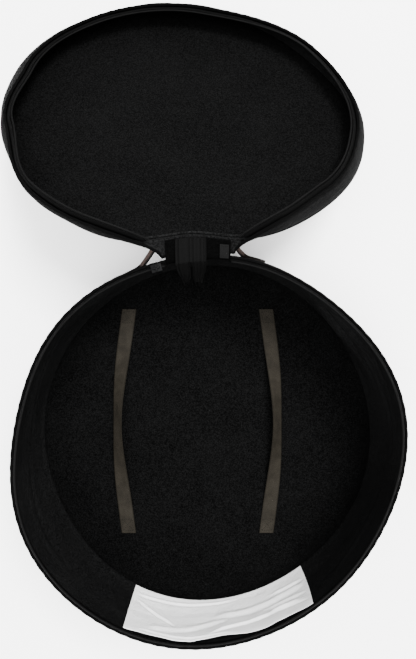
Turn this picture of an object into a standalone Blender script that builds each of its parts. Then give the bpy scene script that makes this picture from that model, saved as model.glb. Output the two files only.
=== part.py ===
"""Round felt travel box for a hat, standing open with its lid lying back over the felt hinge.

Metres, +X right, +Y back towards the lid, +Z up. The origin is the centre of the base's underside.
"""

import math

import bmesh
import bpy
from mathutils import Vector

# Felt body
FELT = 0.003
GAP = 0.0003
BASE_RADIUS = 0.230
RIM_RADIUS = 0.2168
WALL_TOP = 0.156
BELLY = 0.004
RIM_SHIFT_X = -0.0014
RIM_SHIFT_Y = 0.0062
WALL_SEGMENTS = 72

# Lid, as it lies: semi-axes of the panel seen from above, and the heights of its near and far edges
LID_CENTRE_X = -0.0344
LID_CENTRE_Y = 0.4058
LID_HALF_WIDTH = 0.2236
LID_HALF_REACH = 0.1805
LID_NEAR_HEIGHT = 0.170
LID_FAR_HEIGHT = 0.0024
LID_ROLL_DEG = -2.0
LID_YAW_DEG = -12.6
LID_SAG = 0.008
LID_DEPTH = 0.033
HINGE_AIM = 285.0
HINGE_FLAT = 0.105
HINGE_FLAT_SPREAD = 15.0

# Zip
TAPE_THICKNESS = 0.0012
LID_TAPE_EASE = 0.0010
COIL_DIAMETER = 0.0028
SLIDER_LENGTH = 0.012
SLIDER_WIDTH = 0.009
SLIDER_HEIGHT = 0.0042
PULL_LENGTH = 0.026
PULL_WIDTH = 0.006
PULL_THICKNESS = 0.0016

# Hinge
HINGE_LEFT = -0.046
HINGE_RIGHT = 0.026
HINGE_MARGIN = 0.005
HINGE_EASE = 0.0006
HINGE_FELT = 0.002
HINGE_LAP = 0.012
HINGE_FADE_LEFT = 0.070
HINGE_FADE_RIGHT = 0.048
HINGE_STEP = 0.001
ZIP_END_GAP = 0.002
LID_ZIP_LEFT_GAP = 0.040
LID_ZIP_RIGHT_GAP = 0.028
SLIDER_TURN_DEG = 2.5
STRIP_CENTRE = -0.0178
STRIP_WIDTH = 0.034
STRIP_THICKNESS = 0.0016
STRIP_TAIL = 0.046
STRIP_TAIL_LEAN_DEG = 24.0
STRIP_NOTCH = 0.0018
STRIP_RIBS = 5
STRIP_RIB_DEPTH = 0.0011
TAB_WIDTH = 0.010
TAB_THICKNESS = 0.0014
TAB_X = 0.0190

# Straps and handles
STRAP_WIDTH = 0.020
STRAP_THICKNESS = 0.0015
STRAP_ARCH = 0.016
STRAP_TWIST_DEG = 50.0
STRAP_FLAT_END = 0.024
STRAP_BOW = 0.0135
LEFT_STRAP_X = -0.108
RIGHT_STRAP_X = 0.082
STRAP_BACK_Y = 0.170
STRAP_FRONT_Y = -0.140
HANDLE_X = -0.018
HANDLE_SPAN = 0.126
HANDLE_REACH = 0.034
HANDLE_WIDTH = 0.020
HANDLE_THICKNESS = 0.0042
HANDLE_HEIGHT = 0.070
WEB_CENTRE_X = -0.022
WEB_CENTRE_Y = 0.424
WEB_SPAN = 0.306
WEB_WIDTH = 0.027
WEB_THICKNESS = 0.002
WEB_DROP = 0.026
WEB_FLAT_END = 0.028
WEB_CLEARANCE = 0.0008

# Pocket on the inside of the front wall
POCKET_CLOTH = 0.0012
POCKET_LEFT_DEG = 245.0
POCKET_RIGHT_DEG = 305.0
POCKET_SLACK = 0.0028
POCKET_DIP = 0.05
POCKET_RIPPLES = 2.5

# Outlines as waves on a circle: how many lobes, height as a share of the radius, direction of a crest in degrees
LOBES, SHARE, CREST = range(3)
RIM_OUTLINE = (
    (2, 0.0197, 37.0),
    (3, 0.0133, 1.0),
    (4, 0.0053, 21.0),
    (5, 0.0045, 1.0),
    (6, 0.0052, 18.0),
)
BASE_OUTLINE = (
    (2, 0.0130, 83.0),
    (3, 0.0034, 5.0),
    (4, 0.0080, -14.0),
)
LID_OUTLINE = (
    (3, 0.0121, 1.0),
    (4, 0.0141, -1.0),
    (5, 0.0047, 10.0),
)

# Side wall from foot to top edge: height share, how far it has leaned from the base outline to the rim's, belly share
HEIGHT, LEAN, BULGE = range(3)
WALL_PROFILE = (
    (0.00, 0.00, 0.00),
    (0.10, 0.04, 0.45),
    (0.28, 0.15, 0.85),
    (0.48, 0.36, 1.00),
    (0.68, 0.60, 0.75),
    (0.86, 0.84, 0.30),
    (1.00, 1.00, 0.00),
)

# Dents of the side wall: direction, height share, spread in degrees, spread in height, depth as a share of the height
AIM, LEVEL, SPREAD, RISE, DEPTH = range(5)
WALL_DENTS = (
    (40.0, 0.34, 15.0, 0.20, 0.080),
    (38.0, 0.66, 24.0, 0.10, -0.022),
    (168.0, 0.45, 13.0, 0.25, 0.020),
    (206.0, 0.55, 10.0, 0.22, -0.014),
    (330.0, 0.50, 12.0, 0.24, 0.018),
    (128.0, 0.50, 12.0, 0.26, 0.020),
)

# Rows of the lid wall from the panel to the zip
LID_WALL_ROWS = (0.00, 0.33, 0.66, 1.00)

# Places up the lid wall where the hinge pieces follow it, from the body's rim to the lid panel
HINGE_ROWS = (0.80, 0.50, 0.10)

# Lid wall's inward lean by direction in the lid: direction, lean as a share of the lid's depth
LID_LEAN = (
    (0.0, 0.38),
    (45.0, 0.30),
    (90.0, 1.10),
    (135.0, 1.00),
    (180.0, 0.88),
    (210.0, 0.30),
    (240.0, -0.35),
    (270.0, -0.40),
    (300.0, -0.36),
    (330.0, 0.06),
    (360.0, 0.38),
)

# Half of the back handle from its sewn end to its middle: along the wall as a share of half the span, out as a share
# of the reach
HANDLE_PATH = (
    (1.42, 0.00),
    (1.22, 0.00),
    (1.04, 0.00),
    (0.92, 0.20),
    (0.78, 0.52),
    (0.58, 0.79),
    (0.30, 0.95),
    (0.00, 1.00),
)

# Pocket rows from foot to mouth: height share on the wall, how loose the cloth is
POCKET_ROWS = (
    (0.03, 0.0),
    (0.10, 0.1),
    (0.28, 0.3),
    (0.48, 0.5),
    (0.68, 0.7),
    (0.86, 0.9),
    (0.93, 1.0),
)

# Zip tape from its sewn edge to its coil: inward of the wall's outer face, above the wall's top edge
TAPE_PROFILE = (
    (FELT + GAP + TAPE_THICKNESS / 2, -0.0060),
    (FELT + GAP + TAPE_THICKNESS / 2, 0.0006),
    (FELT + 0.0030, 0.0030),
)


def clear_scene():
    """Removes every object, so that only the box is left."""
    for thing in list(bpy.data.objects):
        bpy.data.objects.remove(thing, do_unlink=True)


def make_material(name, colour, roughness, metallic=0.0):
    """A Principled material of one colour."""
    material = bpy.data.materials.new(name)
    material.use_nodes = True
    shader = material.node_tree.nodes["Principled BSDF"]
    shader.inputs["Base Color"].default_value = (*colour, 1.0)
    shader.inputs["Roughness"].default_value = roughness
    shader.inputs["Metallic"].default_value = metallic
    return material


def smooth(value):
    """Eases a share from 0 to 1 with flat ends."""
    value = max(0.0, min(1.0, value))
    return value * value * (3 - 2 * value)


def mix(first, second, share):
    return first + (second - first) * share


def steps(first, last, count):
    """Evenly spaced values from first to last, both included."""
    return [mix(first, last, i / (count - 1)) for i in range(count)]


def wave(angle, table):
    """Radius factor of a wavy circle in a direction given in degrees."""
    return 1 + sum(row[SHARE] * math.cos(row[LOBES] * math.radians(angle - row[CREST])) for row in table)


def aim(angle):
    """Horizontal unit vector in a direction given in degrees."""
    return Vector((math.cos(math.radians(angle)), math.sin(math.radians(angle)), 0))


def turn_between(angle, centre):
    """Difference of two directions, from -180 to 180 degrees."""
    return (angle - centre + 180) % 360 - 180


def straight(value):
    return value


def from_table(value, table, column, ease=straight):
    """Reads a column of a table whose first column rises, easing between its rows."""
    for low, high in zip(table, table[1:]):
        if value <= high[0]:
            return mix(low[column], high[column], ease((value - low[0]) / (high[0] - low[0])))
    return table[-1][column]


def add_object(name, bm, material, thickness=0.0, offset=0.0):
    """Makes an object of a bmesh, with the thickness of its cloth or felt as a Solidify modifier."""
    mesh = bpy.data.meshes.new(name)
    bm.to_mesh(mesh)
    bm.free()
    mesh.materials.append(material)
    thing = bpy.data.objects.new(name, mesh)
    bpy.context.scene.collection.objects.link(thing)
    if thickness:
        solid = thing.modifiers.new("Thickness", "SOLIDIFY")
        solid.thickness = thickness
        solid.offset = offset
    mesh.shade_smooth()
    mesh.set_sharp_from_angle(angle=math.radians(40))
    return thing


def sheet(rows, closed):
    """Surface through rows of points: the first row is drawn, and each next one is extruded from the last."""
    bm = bmesh.new()
    verts = [bm.verts.new(point) for point in rows[0]]
    edges = [bm.edges.new(pair) for pair in zip(verts, verts[1:])]
    if closed:
        edges.append(bm.edges.new((verts[-1], verts[0])))
    for row in rows[1:]:
        grown = bmesh.ops.extrude_edge_only(bm, edges=edges)["geom"]
        fresh = [item for item in grown if isinstance(item, bmesh.types.BMVert)]
        edges = [item for item in grown if isinstance(item, bmesh.types.BMEdge)]
        partner = {}
        for vert in fresh:
            old = next(e.other_vert(vert) for e in vert.link_edges if e.other_vert(vert) in verts)
            partner[old] = vert
        verts = [partner[old] for old in verts]
        for vert, point in zip(verts, row):
            vert.co = point
    return bm, verts


# Shape of the body


def wall_point(angle, share):
    """Point of the body wall's outer face, share 0 at the foot and 1 at the top edge."""
    foot = FELT + GAP
    height = WALL_TOP - foot
    base = aim(angle) * BASE_RADIUS * wave(angle, BASE_OUTLINE)
    rim = aim(angle) * RIM_RADIUS * wave(angle, RIM_OUTLINE) + Vector((RIM_SHIFT_X, RIM_SHIFT_Y, 0))
    point = base.lerp(rim, from_table(share, WALL_PROFILE, LEAN))
    push = BELLY * from_table(share, WALL_PROFILE, BULGE)
    for dent in WALL_DENTS:
        across = turn_between(angle, dent[AIM]) / dent[SPREAD]
        along = (share - dent[LEVEL]) / dent[RISE]
        fade = smooth(share * 8) * smooth((1 - share) * 8)
        push -= dent[DEPTH] * height * math.exp(-across * across - along * along) * fade
    point += aim(angle) * push
    point.z = foot + height * share
    return point


def wall_facing(angle, share):
    """Outward normal of the body wall."""
    step_angle, step_share = 1.0, 0.02
    low, high = max(0.0, share - step_share), min(1.0, share + step_share)
    along = wall_point(angle + step_angle, share) - wall_point(angle - step_angle, share)
    up = wall_point(angle, high) - wall_point(angle, low)
    return along.cross(up).normalized()


def inside_wall(angle, share, depth):
    """Point that far inward of the body wall's outer face."""
    return wall_point(angle, share) - wall_facing(angle, share) * depth


def wall_angle_at(x, share):
    """Direction of the back wall's point that has this X, found by halving."""
    low, high = 45.0, 135.0
    for _ in range(40):
        middle = (low + high) / 2
        low, high = (middle, high) if wall_point(middle, share).x > x else (low, middle)
    return (low + high) / 2


def body_rim_frame(angle):
    """Top edge of the body wall's outer face, the inward direction and the upward direction."""
    top = wall_point(angle, 1.0)
    along = wall_point(angle + 1, 1.0) - wall_point(angle - 1, 1.0)
    return top, Vector((0, 0, 1)).cross(along).normalized(), Vector((0, 0, 1))


# Shape of the lid


def lid_height(across, reach):
    """Height of the lid panel's underside at a place in the lid, as shares from -1 to 1 of its half sizes."""
    share = (reach + 1) / 2
    slope = mix(LID_NEAR_HEIGHT, LID_FAR_HEIGHT, share) - LID_SAG * 4 * share * (1 - share)
    roll = math.tan(math.radians(LID_ROLL_DEG)) * LID_HALF_WIDTH * across
    fade = 1 - smooth((share - 0.35) / 0.65)
    return slope + roll * fade


def lid_edge_factor(angle):
    """Outline of the lid panel, flattened where the hinge is sewn on."""
    flat = math.exp(-((turn_between(angle, HINGE_AIM) / HINGE_FLAT_SPREAD) ** 2))
    return wave(angle, LID_OUTLINE) * (1 - HINGE_FLAT * flat)


def lid_point(angle, radius_share):
    """Point of the lid panel's underside, in a direction in the lid: 270 is the hinge side and 90 the far side."""
    factor = lid_edge_factor(angle) * radius_share
    u = LID_HALF_WIDTH * math.cos(math.radians(angle)) * factor
    v = LID_HALF_REACH * math.sin(math.radians(angle)) * factor
    yaw = math.radians(LID_YAW_DEG)
    x = u * math.cos(yaw) - v * math.sin(yaw)
    y = u * math.sin(yaw) + v * math.cos(yaw)
    z = lid_height(x / LID_HALF_WIDTH, y / LID_HALF_REACH)
    return Vector((LID_CENTRE_X + x, LID_CENTRE_Y + y, z))


def lid_normal():
    """Direction that the inside of the lid faces, on the whole."""
    slope = Vector((0, 2 * LID_HALF_REACH, LID_FAR_HEIGHT - LID_NEAR_HEIGHT))
    return Vector((1, 0, 0)).cross(slope).normalized()


def lid_panel_height(x, y):
    """Height of the lid panel's underside over a place on the ground."""
    return lid_height((x - LID_CENTRE_X) / LID_HALF_WIDTH, (y - LID_CENTRE_Y) / LID_HALF_REACH)


def lid_inward(angle):
    """Direction in the lid's plane from its edge towards the inside."""
    along = lid_point(angle + 2, 1.0) - lid_point(angle - 2, 1.0)
    return lid_normal().cross(along).normalized()


def hinge_share(angle):
    """How much of the lid's wall is pulled down to the body's rim, from 0 to 1."""
    x = lid_point(angle, 1.0).x
    if abs(turn_between(angle, 270.0)) > 60:
        return 0.0
    left = (HINGE_LEFT - HINGE_MARGIN - x) / HINGE_FADE_LEFT
    right = (x - HINGE_RIGHT - HINGE_MARGIN) / HINGE_FADE_RIGHT
    return 1 - smooth(max(left, right))


def hinge_line(x):
    """Place where the lid's wall meets the body's rim."""
    edge = wall_point(wall_angle_at(x, 1.0), 1.0)
    return Vector((x, edge.y + FELT + GAP, WALL_TOP - HINGE_STEP))


def lid_wall_top(angle):
    """Top edge of the lid wall's outer face."""
    lean = LID_DEPTH * from_table(angle % 360, LID_LEAN, 1, smooth)
    foot = lid_point(angle, 1.0)
    free = foot + lid_normal() * LID_DEPTH + lid_inward(angle) * lean
    held = hinge_line(max(HINGE_LEFT - HINGE_MARGIN, min(HINGE_RIGHT + HINGE_MARGIN, foot.x)))
    return free.lerp(held, hinge_share(angle))


def lid_wall_point(angle, share):
    """Point of the lid wall's outer face, share 0 at the panel and 1 at the zip."""
    lean = max(0.0, from_table(angle % 360, LID_LEAN, 1, smooth))
    seam = FELT + GAP + FELT * lean / math.hypot(1, lean)
    foot = lid_point(angle, 1.0) + lid_normal() * seam
    top = lid_wall_top(angle)
    point = foot.lerp(top, share)
    belly = 0.003 * math.sin(math.pi * share) * (1 - hinge_share(angle))
    return point - lid_inward(angle) * belly


def lid_rim_frame(angle):
    """Top edge of the lid wall's outer face, the inward direction and the direction up the wall."""
    top = lid_wall_top(angle)
    up = (top - lid_wall_point(angle, LID_WALL_ROWS[-2])).normalized()
    along = (lid_wall_top(angle + 1) - lid_wall_top(angle - 1)).normalized()
    inward = up.cross(along).normalized()
    return top + inward * LID_TAPE_EASE, inward, up


def lid_wall_facing(angle, share):
    """Outward normal of the lid wall."""
    along = lid_wall_point(angle + 1, share) - lid_wall_point(angle - 1, share)
    up = lid_wall_point(angle, 1.0) - lid_wall_point(angle, 0.0)
    return along.cross(up).normalized()


def inside_lid_wall(angle, share, depth):
    """Point that far inward of the lid wall's outer face."""
    return lid_wall_point(angle, share) - lid_wall_facing(angle, share) * depth


def lid_angle_at(x):
    """Direction in the lid of the hinge side's point that has this X, found by halving."""
    low, high = 235.0, 325.0
    for _ in range(40):
        middle = (low + high) / 2
        low, high = (middle, high) if lid_point(middle, 1.0).x < x else (low, middle)
    return (low + high) / 2


# Felt pieces


def build_base_panel(felt):
    """Felt disc of the body's floor, with a flat underside."""
    bm = bmesh.new()
    edge = [aim(a) * BASE_RADIUS * wave(a, BASE_OUTLINE) for a in steps(0, 360, WALL_SEGMENTS + 1)[:-1]]
    bm.faces.new([bm.verts.new(point) for point in edge])
    grown = bmesh.ops.extrude_face_region(bm, geom=bm.faces[:])["geom"]
    raised = [item for item in grown if isinstance(item, bmesh.types.BMVert)]
    bmesh.ops.translate(bm, verts=raised, vec=(0, 0, FELT))
    bmesh.ops.recalc_face_normals(bm, faces=bm.faces)
    return add_object("base_panel", bm, felt)


def build_body_wall(felt):
    """Side wall of the body, from the floor to the zip."""
    angles = steps(0, 360, WALL_SEGMENTS + 1)[:-1]
    rows = [[wall_point(angle, row[HEIGHT]) for angle in angles] for row in WALL_PROFILE]
    bm, _ = sheet(rows, closed=True)
    bmesh.ops.recalc_face_normals(bm, faces=bm.faces)
    return add_object("body_wall", bm, felt, FELT, -1.0)


def build_lid_panel(felt):
    """Top panel of the lid, lying with its outside down."""
    angles = steps(0, 360, WALL_SEGMENTS + 1)[:-1]
    lift = lid_normal() * FELT
    shares = (1.0, 0.9, 0.7, 0.45, 0.2)
    rows = [[lid_point(angle, share) + lift for angle in angles] for share in shares]
    bm, inner = sheet(rows, closed=True)
    bm.faces.new(inner)
    bmesh.ops.recalc_face_normals(bm, faces=bm.faces)
    if sum(face.normal.z for face in bm.faces) < 0:
        bmesh.ops.reverse_faces(bm, faces=bm.faces)
    return add_object("lid_panel", bm, felt, FELT, -1.0)


def build_lid_wall(felt):
    """Low side wall of the lid, pulled flat where it meets the hinge."""
    angles = steps(0, 360, WALL_SEGMENTS + 1)[:-1]
    rows = [[lid_wall_point(angle, share) for angle in angles] for share in LID_WALL_ROWS]
    bm, _ = sheet(rows, closed=True)
    bmesh.ops.recalc_face_normals(bm, faces=bm.faces)
    centre = Vector((LID_CENTRE_X, LID_CENTRE_Y, mix(LID_NEAR_HEIGHT, LID_FAR_HEIGHT, 0.5)))
    if sum(face.normal.dot(face.calc_center_median() - centre) for face in bm.faces) < 0:
        bmesh.ops.reverse_faces(bm, faces=bm.faces)
    return add_object("lid_wall", bm, felt, FELT, -1.0)


# Zip


def zip_rows(frame, first, last, count, profile):
    """Rows of points along the rim, one for each place of a profile."""
    rows = []
    for inward_by, up_by in profile:
        row = []
        for angle in steps(first, last, count):
            top, inward, up = frame(angle)
            row.append(top + inward * inward_by + up * up_by)
        rows.append(row)
    return rows


def build_tape(name, frame, first, last, cloth):
    """Zip tape, sewn inside the wall's top edge and leaning inward."""
    bm, _ = sheet(zip_rows(frame, first, last, WALL_SEGMENTS - 4, TAPE_PROFILE), closed=False)
    bmesh.ops.recalc_face_normals(bm, faces=bm.faces)
    return add_object(name, bm, cloth, TAPE_THICKNESS, 0.0)


def coil_place():
    """Middle of the coil beyond the tape's free edge: inward of the wall's outer face, and above its top edge."""
    inward_by, up_by = TAPE_PROFILE[-1]
    before = TAPE_PROFILE[-2]
    run = Vector((inward_by - before[0], up_by - before[1])).normalized()
    return Vector((inward_by, up_by)) + run * (COIL_DIAMETER / 2 + GAP * 2)


def build_coil(name, frame, first, last, plastic):
    """Zip coil along the tape's free edge, as one round bead."""
    place = coil_place()
    points = zip_rows(frame, first, last, WALL_SEGMENTS - 4, [(place.x, place.y)])[0]
    curve = bpy.data.curves.new(name, "CURVE")
    curve.dimensions = "3D"
    curve.bevel_depth = COIL_DIAMETER / 2
    curve.bevel_resolution = 1
    curve.use_fill_caps = True
    spline = curve.splines.new("POLY")
    spline.points.add(len(points) - 1)
    for spot, point in zip(spline.points, points):
        spot.co = (*point, 1)
    curve.materials.append(plastic)
    thing = bpy.data.objects.new(name, curve)
    bpy.context.scene.collection.objects.link(thing)
    return thing


# Hinge


def offset_path(points, distance):
    """Moves a path in its upright plane sideways, towards the inside of the box, with mitred corners."""
    sides = []
    for start, end in zip(points, points[1:]):
        run = Vector((0, end.y - start.y, end.z - start.z)).normalized()
        sides.append(Vector((0, -run.z, run.y)))
    moved = []
    for point, before, after in zip(points, sides[:1] + sides, sides + sides[-1:]):
        moved.append(point + (before + after) * (distance / (1 + before.dot(after))))
    return moved


def hinge_path(x, depth):
    """Path over the hinge at one X, from inside the body to the lid panel, that far above the felt walls."""
    body = wall_angle_at(x, 1.0)
    lid = lid_angle_at(x)
    lap = HINGE_LAP / (WALL_TOP - FELT - GAP)
    points = [inside_wall(body, share, FELT) for share in (1 - lap, 1.0)]
    points += [inside_lid_wall(lid, share, FELT + HINGE_EASE) for share in HINGE_ROWS]
    return offset_path(points, GAP + depth)


def build_hinge_panel(felt):
    """Felt piece over the joint of the two walls."""
    depth = HINGE_FELT / 2
    columns = [hinge_path(x, depth) for x in steps(HINGE_LEFT, HINGE_RIGHT, 9)]
    bm, _ = sheet(list(zip(*columns)), closed=False)
    bmesh.ops.recalc_face_normals(bm, faces=bm.faces)
    return add_object("hinge_panel", bm, felt, HINGE_FELT, 0.0)


def build_hinge_strip(cloth):
    """Ribbed strip over the hinge, whose two tails hang inside the body."""
    columns = 2 * STRIP_RIBS + 2
    lean = math.radians(STRIP_TAIL_LEAN_DEG)
    paths = []
    for i, x in enumerate(steps(STRIP_CENTRE - STRIP_WIDTH / 2, STRIP_CENTRE + STRIP_WIDTH / 2, columns)):
        rib = STRIP_RIB_DEPTH if i % 2 else 0.0
        depth = HINGE_FELT + GAP + STRIP_THICKNESS / 2 + rib
        path = hinge_path(x, depth)[::-1][:-1]
        root = path[-1]
        apart = STRIP_NOTCH if i >= columns // 2 else -STRIP_NOTCH
        for share in (0.35, 0.7, 1.0):
            fall = STRIP_TAIL * share
            drop = Vector((apart * share, -fall * math.sin(lean), -fall * math.cos(lean)))
            path.append(root + drop)
        paths.append(path)
    bm, _ = sheet(list(zip(*paths)), closed=False)
    notch_top = root.z - STRIP_TAIL * 0.35 * math.cos(lean)
    half_rib = STRIP_WIDTH / (columns - 1) / 2
    centres = {face: face.calc_center_median() for face in bm.faces}
    notch = [f for f, c in centres.items() if abs(c.x - STRIP_CENTRE) < half_rib and c.z < notch_top]
    bmesh.ops.delete(bm, geom=notch, context="FACES")
    bmesh.ops.recalc_face_normals(bm, faces=bm.faces)
    return add_object("hinge_strip", bm, cloth, STRIP_THICKNESS, 0.0)


def build_zip_end_tab(grey):
    """Small folded tab that ends the zip, lying on the hinge's felt."""
    depth = HINGE_FELT + GAP + TAB_THICKNESS / 2
    columns = [hinge_path(x, depth)[2:] for x in steps(TAB_X - TAB_WIDTH / 2, TAB_X + TAB_WIDTH / 2, 3)]
    bm, _ = sheet(list(zip(*columns)), closed=False)
    bmesh.ops.recalc_face_normals(bm, faces=bm.faces)
    return add_object("zip_end_tab", bm, grey, TAB_THICKNESS, 0.0)


# Straps and handles


def build_hat_strap(name, x, side, leather):
    """Strap over the floor: flat sewn ends, a low arch between them, turned on edge and bowed outward."""
    rows = []
    rest = FELT + GAP + STRAP_THICKNESS / 2
    length = STRAP_BACK_Y - STRAP_FRONT_Y
    for y in steps(STRAP_FRONT_Y, STRAP_BACK_Y, 19):
        from_end = min(y - STRAP_FRONT_Y, STRAP_BACK_Y - y)
        rise = smooth((from_end - STRAP_FLAT_END) / (length / 2 - STRAP_FLAT_END))
        bow = side * STRAP_BOW * math.sin(math.pi * (y - STRAP_FRONT_Y) / length)
        turn = math.radians(STRAP_TWIST_DEG) * rise
        half = Vector((math.cos(turn), 0, -side * math.sin(turn))) * (STRAP_WIDTH / 2)
        centre = Vector((x + bow, y, rest + STRAP_ARCH * rise))
        rows.append([centre - half, centre + half])
    bm, _ = sheet(rows, closed=False)
    bmesh.ops.recalc_face_normals(bm, faces=bm.faces)
    return add_object(name, bm, leather, STRAP_THICKNESS, 0.0)


def build_back_handle(leather):
    """Flat leather strap handle on the back wall: an arch that stands out, its sewn ends turned in below it."""
    foot = FELT + GAP
    rows = []
    ends = [(-along, out) for along, out in HANDLE_PATH] + [row for row in HANDLE_PATH[-2::-1]]
    for along, out in ends:
        row = []
        for z in (HANDLE_HEIGHT - HANDLE_WIDTH / 2, HANDLE_HEIGHT + HANDLE_WIDTH / 2):
            share = (z - foot) / (WALL_TOP - foot)
            angle = wall_angle_at(HANDLE_X + along * HANDLE_SPAN / 2, share)
            stand = GAP * 2 + HANDLE_THICKNESS / 2
            sewn = wall_point(angle, share) + wall_facing(angle, share) * stand
            row.append(sewn + Vector((0, HANDLE_REACH * out, 0)))
        rows.append(row)
    bm, _ = sheet(rows, closed=False)
    bmesh.ops.recalc_face_normals(bm, faces=bm.faces)
    return add_object("back_handle", bm, leather, HANDLE_THICKNESS, 0.0)


def build_lid_handle(webbing):
    """Web handle on the lid's outside, whose middle hangs below the drooping lid."""
    rows = []
    half = WEB_SPAN / 2
    for x in steps(-half, half, 19):
        from_end = half - abs(x)
        share = max(0.0, (from_end - WEB_FLAT_END) / (half - WEB_FLAT_END))
        drop = WEB_DROP * (1 - (1 - share) ** 2) * smooth(share * 6)
        row = []
        for y in (WEB_CENTRE_Y - WEB_WIDTH / 2, WEB_CENTRE_Y + WEB_WIDTH / 2):
            z = lid_panel_height(WEB_CENTRE_X + x, y) - WEB_CLEARANCE - WEB_THICKNESS / 2 - drop
            row.append(Vector((WEB_CENTRE_X + x, y, z)))
        rows.append(row)
    bm, _ = sheet(rows, closed=False)
    bmesh.ops.recalc_face_normals(bm, faces=bm.faces)
    return add_object("lid_handle", bm, webbing, WEB_THICKNESS, 0.0)


# Pocket


def build_inner_pocket(white):
    """White slip pocket: sewn at its sides and foot, loose and wavy along its mouth."""
    columns = round((POCKET_RIGHT_DEG - POCKET_LEFT_DEG) / (360 / WALL_SEGMENTS)) + 1
    rows = []
    for level, loose in POCKET_ROWS:
        row = []
        for i, angle in enumerate(steps(POCKET_LEFT_DEG, POCKET_RIGHT_DEG, columns)):
            across = math.sin(math.pi * i / (columns - 1))
            ripple = 0.5 + 0.5 * math.sin(POCKET_RIPPLES * 2 * math.pi * i / (columns - 1))
            slack = POCKET_SLACK * loose * across * (0.4 + 0.6 * ripple)
            share = level - POCKET_DIP * loose * ripple * across
            row.append(inside_wall(angle, share, FELT + GAP * 2 + POCKET_CLOTH / 2 + slack))
        rows.append(row)
    bm, _ = sheet(rows, closed=False)
    bmesh.ops.recalc_face_normals(bm, faces=bm.faces)
    return add_object("inner_pocket", bm, white, POCKET_CLOTH, 0.0)


# Slider


def add_block(name, size, place, turn, material, edge):
    """Small block with bevelled edges, turned about Z."""
    bm = bmesh.new()
    bmesh.ops.create_cube(bm, size=1.0)
    bmesh.ops.scale(bm, vec=size, verts=bm.verts)
    thing = add_object(name, bm, material)
    bevel = thing.modifiers.new("Edge", "BEVEL")
    bevel.width = edge
    bevel.segments = 2
    thing.location = place
    thing.rotation_euler = (0, 0, math.radians(turn))
    return thing


def build_slider(angle, metal):
    """Zip slider over the coil and its pull, which hangs inside the wall."""
    top, inward, _ = body_rim_frame(angle)
    seat = coil_place()
    under = seat.y + COIL_DIAMETER / 2 + GAP
    body = top + inward * seat.x + Vector((0, 0, under + SLIDER_HEIGHT / 2))
    turn = math.degrees(math.atan2(inward.y, inward.x)) - 90
    size = (SLIDER_LENGTH, SLIDER_WIDTH, SLIDER_HEIGHT)
    add_block("zip_slider", size, body, turn, metal, 0.0008)
    hang = seat.x + COIL_DIAMETER / 2 + GAP + PULL_THICKNESS / 2 + GAP
    pull = top + inward * hang + Vector((0, 0, under - GAP - PULL_LENGTH / 2))
    add_block("zip_pull", (PULL_WIDTH, PULL_THICKNESS, PULL_LENGTH), pull, turn, metal, 0.0004)


def main():
    """Builds every piece of the box."""
    clear_scene()
    felt = make_material("black_felt", (0.012, 0.012, 0.013), 0.95)
    cloth = make_material("zip_cloth", (0.010, 0.010, 0.010), 0.8)
    plastic = make_material("zip_plastic", (0.015, 0.015, 0.016), 0.45)
    metal = make_material("black_metal", (0.03, 0.03, 0.03), 0.35, 0.9)
    grey = make_material("grey_tape", (0.05, 0.05, 0.05), 0.8)
    dark_leather = make_material("dark_brown_leather", (0.030, 0.025, 0.018), 0.6)
    brown_leather = make_material("brown_leather", (0.20, 0.10, 0.06), 0.5)
    webbing = make_material("black_webbing", (0.012, 0.012, 0.012), 0.7)
    white = make_material("white_cloth", (0.85, 0.85, 0.84), 0.85)
    build_base_panel(felt)
    build_body_wall(felt)
    build_lid_panel(felt)
    build_lid_wall(felt)
    body_start = wall_angle_at(HINGE_LEFT - ZIP_END_GAP, 1.0)
    body_end = wall_angle_at(HINGE_RIGHT + ZIP_END_GAP, 1.0) + 360
    build_tape("body_zip_tape", body_rim_frame, body_start, body_end, cloth)
    build_coil("body_zip_coil", body_rim_frame, body_start, body_end, plastic)
    lid_start = lid_angle_at(HINGE_RIGHT + LID_ZIP_RIGHT_GAP)
    lid_end = lid_angle_at(HINGE_LEFT - LID_ZIP_LEFT_GAP) + 360
    build_tape("lid_zip_tape", lid_rim_frame, lid_start, lid_end, cloth)
    build_coil("lid_zip_coil", lid_rim_frame, lid_start, lid_end, plastic)
    build_hinge_panel(felt)
    build_hinge_strip(cloth)
    build_zip_end_tab(grey)
    build_slider(body_start + SLIDER_TURN_DEG, metal)
    build_hat_strap("hat_strap_left", LEFT_STRAP_X, -1, dark_leather)
    build_hat_strap("hat_strap_right", RIGHT_STRAP_X, 1, dark_leather)
    build_back_handle(brown_leather)
    build_lid_handle(webbing)
    build_inner_pocket(white)


main()
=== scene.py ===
"""Round felt travel box for a hat, standing open with its lid lying back over the felt hinge.

Metres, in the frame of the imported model: +X right, +Y back towards the lid, +Z up.
"""

import logging
import math
from dataclasses import dataclass, field
from enum import Enum
from functools import cached_property
from typing import Callable, Iterable, Sequence

import bmesh
import bpy
from mathutils import Matrix, Vector, noise


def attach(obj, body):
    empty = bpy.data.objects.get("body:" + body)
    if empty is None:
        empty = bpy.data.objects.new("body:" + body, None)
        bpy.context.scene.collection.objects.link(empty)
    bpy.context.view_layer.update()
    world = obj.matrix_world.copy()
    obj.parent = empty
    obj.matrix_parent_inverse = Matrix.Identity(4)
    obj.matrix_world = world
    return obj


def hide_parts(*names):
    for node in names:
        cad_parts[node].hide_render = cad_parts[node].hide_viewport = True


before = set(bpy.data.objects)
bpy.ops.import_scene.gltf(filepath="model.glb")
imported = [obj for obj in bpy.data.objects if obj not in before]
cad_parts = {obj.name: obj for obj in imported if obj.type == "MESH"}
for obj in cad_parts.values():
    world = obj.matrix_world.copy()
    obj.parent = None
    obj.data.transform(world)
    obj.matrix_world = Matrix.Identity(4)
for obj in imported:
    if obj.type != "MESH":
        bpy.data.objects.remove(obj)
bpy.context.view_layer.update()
LOG = logging.getLogger("hat_box")

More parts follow.
